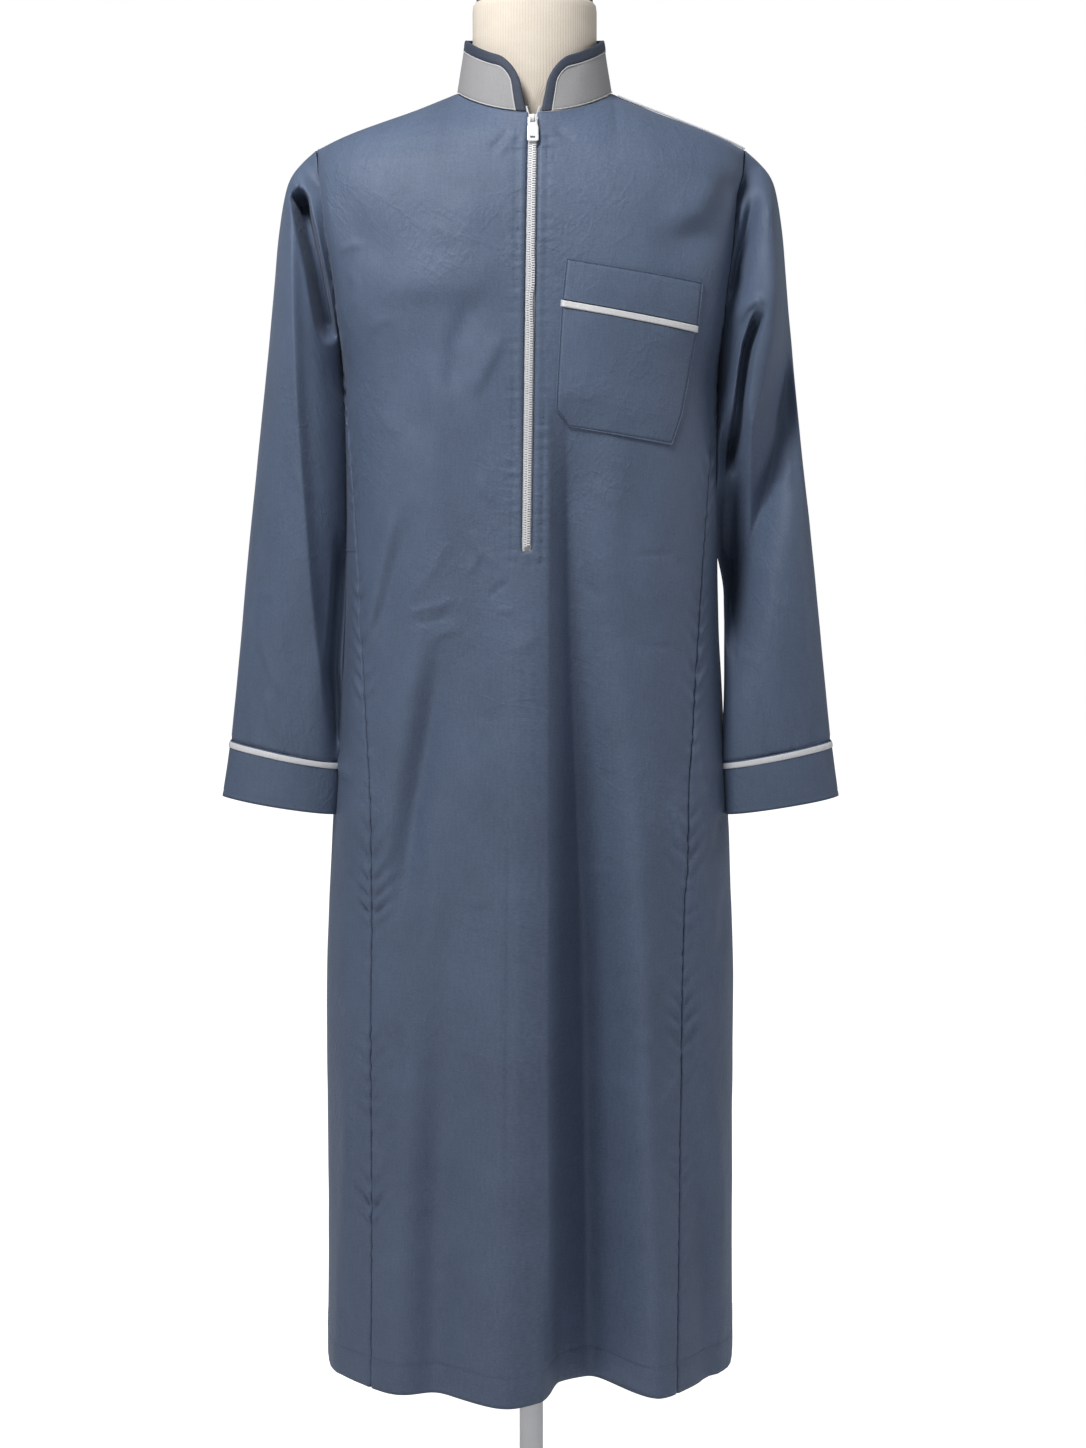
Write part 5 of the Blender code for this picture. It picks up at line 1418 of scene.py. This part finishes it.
def foot_edge_point(column, row):
    along = BAND_PLACES[column]
    proud = 0.0003 + 0.0002 * cloud(along * 90, row, 6.0) + (0.0004 if 0 < row < 3 else 0)
    return collar_point(along, 0.0003 + 0.0013 * row / 3, proud), (along, row * 0.0004)


def binding_edge_point(column, row):
    proud = 0.0006 if 0 < row < 3 else 0.0003
    return collar_point(*on_binding(column, EDGE_SHARES[row]), proud), (column * 0.003, row * 0.0004)


for name, columns, point in (
    ("collar_foot_edge", len(BAND_PLACES) - 1, foot_edge_point),
    ("collar_binding_edge", len(outline) - 1, binding_edge_point),
):
    finish(shell(name, columns, 3, point, collar_outward, wall=0), EDGE_FINISH)

# Zip
# A white moulded zip: two rows of teeth that lock into each other, on tapes sewn behind the slot, and a
# slider whose pull tab swings on a pin.
def plain_finish(name, low, high, roughness, scale, depth=0.0, detail=4.0):
    """A plain coat or moulding, mottled between two shades, with a fine bump if it has a depth."""
    made, tree, shader = new_material(name, roughness)
    speck = node(tree, "ShaderNodeTexNoise", Scale=scale, Detail=detail)
    tree.links.new(node(tree, "ShaderNodeTexCoord").outputs["Object"], speck.inputs["Vector"])
    two_shades(tree, shader, speck.outputs["Fac"], low, high)
    if depth:
        bumped(tree, speck.outputs["Fac"], 0.3, depth, shader.inputs["Normal"])
    return made


ZIP_FINISH = plain_finish("white_moulding", (0.66, 0.66, 0.68), (0.80, 0.80, 0.81), 0.34, 160.0, detail=3.0)
CRISP = math.radians(40)


def bevelled(made, parts, offset, segments, profile=0.5, affect="EDGES"):
    """Round the edges or corners of a bmesh."""
    bmesh.ops.bevel(
        made, geom=parts, offset=offset, segments=segments, profile=profile, affect=affect, material=-1,
    )


def upright_frame(point, out, down):
    """A placing matrix whose Y looks into the cloth and whose Z runs up along the zip."""
    up = -down.normalized()
    side = up.cross(-out).normalized() * -1
    return Matrix.Translation(point) @ Matrix((side, -out, up)).transposed().to_4x4()


TOOTH_PITCH = 0.00240
TOOTH = Matrix.Diagonal((0.0042, 0.0019, 0.0015, 1.0))
zip_places = [on_cloth("front", zip_x(z), z, 0.0) for z in between(ZIP_TOP - 0.016, ZIP_FOOT + 0.002, 40)]


def along_places(places, share):
    """Point, outward direction and run at a share of a row of places."""
    at = min(max(share, 0.0), 1.0) * (len(places) - 1)
    i = min(int(at), len(places) - 2)
    t = at - i
    point = places[i][0].lerp(places[i + 1][0], t)
    return point, places[i][1].lerp(places[i + 1][1], t).normalized(), places[i + 1][0] - places[i][0]


zip_length = sum((b[0] - a[0]).length for a, b in zip(zip_places, zip_places[1:]))
count = int(zip_length / (TOOTH_PITCH / 2))
teeth = bmesh.new()
for k in range(count):
    shift = Matrix.Translation((-0.0015 if k % 2 else 0.0015, -0.0004, 0.0))
    placed = upright_frame(*along_places(zip_places, k / count)) @ shift @ TOOTH
    bmesh.ops.create_cube(teeth, size=1.0, matrix=placed)
bevelled(teeth, teeth.edges[:], 0.0003, 1)
finish(object_of("zip_rows", teeth, CRISP), ZIP_FINISH, replaces=["zip_teeth"])

TAPE_FINISH = cloth_finish(
    "white_tape", (0.50, 0.50, 0.51), (0.64, 0.64, 0.65), 0.70, 0.10, 1600.0, 0.00015, PLAIN_TINT,
)
TAPE_HEIGHTS = between(ZIP_TOP, ZIP_FOOT - 0.012, 90)
TAPE_WIDTH = 0.024


def tape_point(column, row):
    """Point of the woven tape behind the teeth."""
    z = TAPE_HEIGHTS[row]
    x = zip_x(z) + TAPE_WIDTH * (column / 6 - 0.5)
    return on_cloth("front", x, z, -0.0026)[0], (x, z)


tape = shell("zip_tape_cloth", 6, 90, tape_point, front_outward, wall=0.0006)
finish(tape, TAPE_FINISH, replaces=["zip_tape"])

PIN = Vector((0.002489, -0.086134, 1.46324))
LEAN_BACK = -0.3768
UPRIGHT = Matrix.Translation(PIN) @ Matrix.Rotation(LEAN_BACK, 4, "X")
slider_body = bmesh.new()
for width, deep, tall, drop in ((0.0084, 0.0026, 0.0128, 0.0), (0.0104, 0.0016, 0.0092, 0.0010)):
    at = Matrix.Translation((0.0, 0.0034, -0.0014 - drop)) @ Matrix.Diagonal((width, deep, tall, 1.0))
    bmesh.ops.create_cube(slider_body, size=1.0, matrix=at)
bevelled(slider_body, slider_body.edges[:], 0.0006, 2, 0.6)
strap = bmesh.ops.create_grid(slider_body, x_segments=1, y_segments=1, size=1.0)["verts"]
for vertex in strap:
    vertex.co = Vector((vertex.co.x * 0.0013, 0.0020, -0.0040 + vertex.co.y * 0.0004))
bmesh.ops.spin(
    slider_body, geom=strap + [face for face in slider_body.faces if set(face.verts) <= set(strap)],
    cent=(0.0, 0.0018, 0.0), axis=(1.0, 0.0, 0.0), angle=-math.pi, steps=12,
)
bmesh.ops.remove_doubles(slider_body, verts=slider_body.verts, dist=0.000004)
bmesh.ops.recalc_face_normals(slider_body, faces=slider_body.faces)
bmesh.ops.transform(slider_body, matrix=UPRIGHT, verts=slider_body.verts)
slider = object_of("slider_moulding", slider_body, CRISP)
finish(slider, ZIP_FINISH, replaces=["zip_slider"])

# The pull tab: a plate with a window that the slider's strap runs through and a slot near its foot
PULL_DROPS = (-0.0012, 0.0008, 0.0056, 0.0080, 0.0100, 0.0205, 0.0226, 0.0258)
PULL_HALVES = (0.0034, 0.0037, 0.0040, 0.0046, 0.0054, 0.0056, 0.0056, 0.0056)
pull = bmesh.new()
bmesh.ops.create_grid(pull, x_segments=4, y_segments=len(PULL_DROPS) - 1, size=1.0)
spots = {}
for vertex in pull.verts:
    column = round((vertex.co.x + 1) * 2)
    row = round((1 - vertex.co.y) / 2 * (len(PULL_DROPS) - 1))
    spots[vertex] = (column, row)
    out = (-PULL_HALVES[row], -0.0025, 0.0, 0.0025, PULL_HALVES[row])[column]
    vertex.co = Vector((out, 0.0010 * ease(0.004, 0.010, PULL_DROPS[row]), -PULL_DROPS[row]))
windows = []
for face in pull.faces:
    corners = [spots[vertex] for vertex in face.verts]
    if min(column for column, _ in corners) in (1, 2) and min(row for _, row in corners) in (1, 5):
        windows.append(face)
bmesh.ops.delete(pull, geom=windows, context="FACES")
outer = (0, len(PULL_DROPS) - 1)
ends = [vertex for vertex, (column, row) in spots.items() if column in (0, 4) and row in outer]
bevelled(pull, ends, 0.0019, 4, affect="VERTICES")
bmesh.ops.recalc_face_normals(pull, faces=pull.faces)
bmesh.ops.solidify(pull, geom=pull.faces[:], thickness=0.0013)
rims = [edge for edge in pull.edges if len(edge.link_faces) == 2 and edge.calc_face_angle() > 1.0]
bevelled(pull, rims, 0.00028, 2)
bmesh.ops.recalc_face_normals(pull, faces=pull.faces)
bmesh.ops.transform(pull, matrix=UPRIGHT, verts=pull.verts)
tab = object_of("pull_moulding", pull, CRISP)
finish(tab, ZIP_FINISH, body="pull_tab", replaces=["zip_pull"])


def tape_end(label, side):
    """The loose end of a zip tape, opened out above the slider towards the collar's end."""
    foot = on_cloth("front", zip_x(1.4600), 1.4600, -0.0004)[0]
    up = Vector((0.0, 0.368, 0.930))

    def point(column, row):
        share = row / 8
        out = side * (0.0014 + 0.0044 * share + 0.0034 * column / 3)
        place = foot + up * 0.0175 * share + Vector((out, 0.0006 * column, 0.0))
        return place, (column * 0.001, share * 0.015)

    made = shell(f"zip_tape_end_{label}", 3, 8, point, front_outward, wall=0.0006)
    finish(made, TAPE_FINISH)


for label, side in SIDES:
    tape_end(label, side)

# Pocket
# A patch pocket on the wearer's left breast: a stitched-down bag with cut-off lower corners, and above
# it a doubled band with the white piping between them.
Row = namedtuple("Row", "left_x left_z right_x right_z")
BAND_EDGES = (Row(0.0349, 1.3237, 0.1700, 1.3021), Row(0.0305, 1.2835, 0.1660, 1.2602))
PIPING_EDGES = (Row(0.0299, 1.2832, 0.1662, 1.2599), Row(0.0293, 1.2757, 0.1655, 1.2524))
BAG_EDGES = (
    Row(0.0300, 1.2754, 0.1650, 1.2521),
    Row(0.0245, 1.1770, 0.1505, 1.1730),
    Row(0.0380, 1.1600, 0.1395, 1.1415),
)
PATCH_WALL = 0.0006
STITCH_INSET = 0.0021


def edged(length, middle):
    """Places along a stitched-down piece, close together by its folded and stitched edges."""
    near = [0.0, 0.0004, 0.0009, 0.0014, 0.0019, 0.0024, 0.0031, 0.0045, 0.0070]
    return near + between(0.0105, length - 0.0105, middle) + [length - place for place in reversed(near)]


def patch(name, replaced, edges, middle, lift, crown, groove, material, butted=""):
    """A piece on the front between edge rows, folded under at its rim and stitched inside it."""
    sides = [(Vector((row.left_x, row.left_z)), Vector((row.right_x, row.right_z))) for row in edges]
    lengths = running(
        ((above[0] - below[0]).length + (above[1] - below[1]).length) / 2
        for above, below in zip(sides, sides[1:])
    )
    width = (sides[0][1] - sides[0][0]).length
    if groove:
        across_places, down_places = edged(width, middle[0]), edged(lengths[-1], middle[1])
    else:
        across_places, down_places = between(0.0, width, middle[0]), between(0.0, lengths[-1], middle[1])
    columns, rows = len(across_places) - 1, len(down_places) - 1

    def point(column, row):
        rim = column in (0, columns) or row == 0 and butted != "top" or row == rows and butted != "foot"
        at = down_places[row]
        above = 1.0 if butted == "top" else at
        below = 1.0 if butted == "foot" else lengths[-1] - at
        i = max(k for k in range(len(sides) - 1) if lengths[k] <= at)
        share = (at - lengths[i]) / (lengths[i + 1] - lengths[i])
        left = sides[i][0].lerp(sides[i + 1][0], share)
        right = sides[i][1].lerp(sides[i + 1][1], share)
        place = left.lerp(right, across_places[column] / width)
        edge = min(across_places[column], width - across_places[column], above, below)
        stitched = -groove * bell(edge - STITCH_INSET, 0.0007)
        dent = 0.0008 * cloud(place.x * 30, place.y * 30, 5.0) * ease(0.0, 0.02, edge)
        ripple = 0.0003 * cloud(place.x * 160, place.y * 160, 9.0) * bell(edge, 0.006)
        height = -0.0002 if rim else lift + crown * ease(0.0, 0.03, edge) + stitched + dent + ripple
        return on_cloth("front", place.x, place.y, height)[0], (place.x, place.y)

    made = shell(name, columns, rows, point, front_outward, wall=PATCH_WALL)
    return finish(made, material, replaces=[replaced])


bag = patch(
    "pocket_bag_cloth", "pocket_bag", BAG_EDGES, (34, 26), 0.0021, 0.0010, 0.0011,
    SLATE, "top",
)
flap = patch(
    "pocket_band_cloth", "pocket_band", BAND_EDGES, (34, 8), 0.0026, 0.0006, 0.0011,
    SLATE, "foot",
)
trim = patch(
    "pocket_satin", "pocket_piping", PIPING_EDGES, (60, 8), 0.0040, 0.0002, 0.0,
    PIPING_FINISH,
)

# Stitching
# Lock stitches in the cloth's own colour, painted a little lighter as a highlight for the stitches' sheen:
# round the zip's box, along the pocket's edges, beside the armholes, along the turned-up hem, and as
# tacks at the ends of the openings in the side seams.
# The stitches' colour is lighter than the cloth's: a painted highlight for their sheen.
SHEEN_PAINTED_THREAD = cloth_finish("thread_painted_sheen", (0.085, 0.110, 0.165), (0.150, 0.190, 0.270), 0.50, 0.1, 4000.0, 0.00004)


def stitches(name, places, pitch=0.0034, length=0.0026, width=0.00062):
    """A row of single stitches along a run of (point, outward direction)."""
    made = bmesh.new()
    size = Matrix.Diagonal((length / 2, width / 2, width / 2.4, 1.0))
    lengths = running((b[0] - a[0]).length for a, b in zip(places, places[1:]))
    i = 0
    for k in range(int(lengths[-1] / pitch)):
        at = (k + 0.5) * pitch
        while lengths[i + 1] < at:
            i += 1
        t = (at - lengths[i]) / (lengths[i + 1] - lengths[i])
        point = places[i][0].lerp(places[i + 1][0], t)
        out = places[i][1].lerp(places[i + 1][1], t).normalized()
        run = (places[i + 1][0] - places[i][0]).normalized()
        side = run.cross(out).normalized()
        turn = Matrix((run, side, out)).transposed().to_4x4()
        placed = Matrix.Translation(point) @ turn @ size
        bmesh.ops.create_icosphere(made, subdivisions=1, radius=1.0, matrix=placed)
    finish(object_of(name, made), SHEEN_PAINTED_THREAD)


def front_run(points, lift=0.0002, step=0.006):
    """Places on the front along straight runs between points, given as (x, z)."""
    places = []
    for (ax, az), (bx, bz) in zip(points, points[1:]):
        count = max(int(math.hypot(bx - ax, bz - az) / step), 1)
        for k in range(count + 1):
            share = k / count
            places.append(on_cloth("front", ax + (bx - ax) * share, az + (bz - az) * share, lift))
    return places


def hem_run(face):
    """Places round a panel along the top of its turned-up hem."""
    height = HEM + TURN_UP
    places = between(-0.985, 0.985, 130)
    rises = [hem_rise(across, height) if face == "front" else 0.0 for across in places]
    return [lifted(face, across, height + rise, 0.0002) for across, rise in zip(places, rises)]


def armhole_run(face, side):
    """Places beside an armhole, on the body."""
    across = side * (1 - 0.0055 / HALF_CLOTH)
    heights = between(ARMPIT + 0.004, SHOULDER_TIP - 0.004, 60)
    return [lifted(face, across, height, 0.0004) for height in heights]


box_top, box_foot = 1.452, ZIP_FOOT - 0.0075
top_x, foot_x = zip_x(box_top), zip_x(box_foot)
stitches("zip_box_stitches", front_run([
    (top_x - ZIP_LINE, box_top), (foot_x - ZIP_LINE, box_foot),
    (foot_x + ZIP_LINE, box_foot), (top_x + ZIP_LINE, box_top),
], 0.0001))
for label, side in SIDES:
    off = side * ZIP_EDGE_LINE
    edge_run = front_run([(top_x + off, box_top), (zip_x(ZIP_FOOT) + off, ZIP_FOOT)], 0.0001)
    stitches(f"zip_edge_stitches_{label}", edge_run, 0.0030, 0.0022, 0.0005)
    for face in ("front", "back"):
        stitches(f"armhole_stitches_{label}_{face}", armhole_run(face, side))
for face in ("front", "back"):
    stitches(f"hem_stitches_{face}", hem_run(face))
inset = STITCH_INSET
top, corner, foot = BAG_EDGES
stitches("bag_stitches", front_run([
    (top.left_x + inset, top.left_z), (corner.left_x + inset, corner.left_z),
    (foot.left_x + inset * 0.6, foot.left_z + inset), (foot.right_x - inset * 0.6, foot.right_z + inset),
    (corner.right_x - inset, corner.right_z), (top.right_x - inset, top.right_z),
], 0.0013))
top, foot = BAND_EDGES
stitches("band_stitches", front_run([
    (foot.left_x + inset, foot.left_z), (top.left_x + inset, top.left_z - inset),
    (top.right_x - inset, top.right_z - inset), (foot.right_x - inset, foot.right_z),
], 0.0018))
stitches("band_tack_stitches", front_run([(0.0440, 1.3205), (0.0395, 1.2835)], 0.0029))
for name, run in {
    "opening_tack_left": [(-0.1885, 1.0371), (-0.1715, 1.0386)],
    "opening_run_left": [(-0.1770, 1.0810), (-0.1734, 1.0430)],
    "opening_tack_right_top": [(0.1440, 1.0325), (0.1540, 1.0320)],
    "opening_tack_right_foot": [(0.1440, 0.9415), (0.1530, 0.9405)],
}.items():
    stitches(name, front_run(run, 0.0008, 0.002), 0.0024, 0.0021, 0.0008)

# Dress form and stand
# A limbless form covered in cream ribbed linen with a dark cap on its neck, on a white powder-coated
# pole and round base.
def rib_group():
    """Ribbed linen: upright ribs with fine broken threads between them."""
    group, entry, leave, do = pattern_group("ribs")
    split = node(group, "ShaderNodeSeparateXYZ")
    group.links.new(entry["Pattern"], split.inputs[0])
    sway = do("MULTIPLY", streaks(group, entry["Pattern"], 60.0, 40.0), 0.0012)
    turn = do("MULTIPLY", entry["Threads per metre"], 2 * math.pi)
    ribs = do("SINE", do("MULTIPLY", do("ADD", split.outputs["X"], sway), turn))
    threads = streaks(group, entry["Pattern"], 1500.0, 500.0)
    rise = do("ADD", do("MULTIPLY", ribs, 0.5), threads)
    group.links.new(rise, leave["Height"])
    # The ribs' colour is lighter on their crests and darker between them: painted shade in the grooves,
    # added to the threads' own mottle.
    shade = do("ADD", do("MULTIPLY", ribs, 0.16), do("MULTIPLY", threads, 0.9))
    patches = do("MULTIPLY", streaks(group, entry["Pattern"], 40.0, 60.0), 0.5)
    group.links.new(do("SUBTRACT", do("ADD", shade, patches), 0.2), leave["Shade"])
    return group


LINEN = cloth_finish(
    "cream_linen", (0.56, 0.49, 0.40), (0.76, 0.69, 0.60), 0.85, 0.15, 340.0, 0.0004,
    (1.0, 0.95, 0.85), rib_group(),
)
# Rings of the form: height, half width, depth in front and behind, shift to the right, fullness
FORM_RINGS = (
    (0.760, 0.128, 0.074, 0.085, 0.0, 2.2), (0.772, 0.150, 0.089, 0.101, 0.0, 2.2),
    (0.810, 0.163, 0.097, 0.111, 0.0, 2.2), (0.900, 0.170, 0.101, 0.116, 0.0, 2.2),
    (1.000, 0.160, 0.095, 0.106, 0.0, 2.2), (1.080, 0.156, 0.095, 0.102, 0.0, 2.2),
    (1.200, 0.170, 0.108, 0.114, 0.0, 2.2), (1.300, 0.180, 0.104, 0.118, 0.0, 2.2),
    (1.370, 0.188, 0.090, 0.106, 0.0, 2.2), (1.410, 0.196, 0.056, 0.070, 0.0, 2.2),
    (1.4537, 0.184, 0.052, 0.050, 0.001, 1.6), (1.4676, 0.150, 0.056, 0.056, 0.002, 1.4),
    (1.4820, 0.115, 0.056, 0.050, 0.003, 1.15), (1.4920, 0.085, 0.0555, 0.047, 0.004, 1.4),
    (1.5003, 0.070, 0.0550, 0.046, 0.004, 1.9), (1.5103, 0.065, 0.0545, 0.048, 0.004, 2.0),
    (1.5413, 0.063, 0.055, 0.050, 0.004, 2.0), (1.580, 0.063, 0.056, 0.052, 0.004, 2.0),
    (1.586, 0.0622, 0.0552, 0.0512, 0.004, 2.0), (1.5885, 0.0602, 0.0532, 0.0492, 0.004, 2.0),
    (1.589, 0.056, 0.049, 0.045, 0.004, 2.0),
)
FORM_ROUND = 96


def form_point(column, row):
    height, half_width, deep_front, deep_back, shift, fullness = FORM_RINGS[row]
    angle = 2 * math.pi * (column % FORM_ROUND) / FORM_ROUND
    across, ahead = math.cos(angle), math.sin(angle)
    depth = deep_back if ahead > 0 else deep_front
    out = math.copysign(abs(across) ** (2 / fullness), across)
    deep = math.copysign(abs(ahead) ** (2 / fullness), ahead)
    return Vector((shift + half_width * out, depth * deep, height)), (column / FORM_ROUND * 0.39, height)


form = shell("linen_form", FORM_ROUND, len(FORM_RINGS) - 1, form_point, collar_outward, closed=True, wall=0)
finish(form, LINEN, replaces=["form_torso"])
powder = plain_finish("white_powder", (0.86, 0.86, 0.87), (0.93, 0.93, 0.94), 0.38, 900.0, 0.0001)
coat("neck_cap", plain_finish("dark_cap", (0.035, 0.035, 0.040), (0.075, 0.075, 0.080), 0.42, 300.0, 0.0002))
coat("pole", powder)
coat("base", powder)
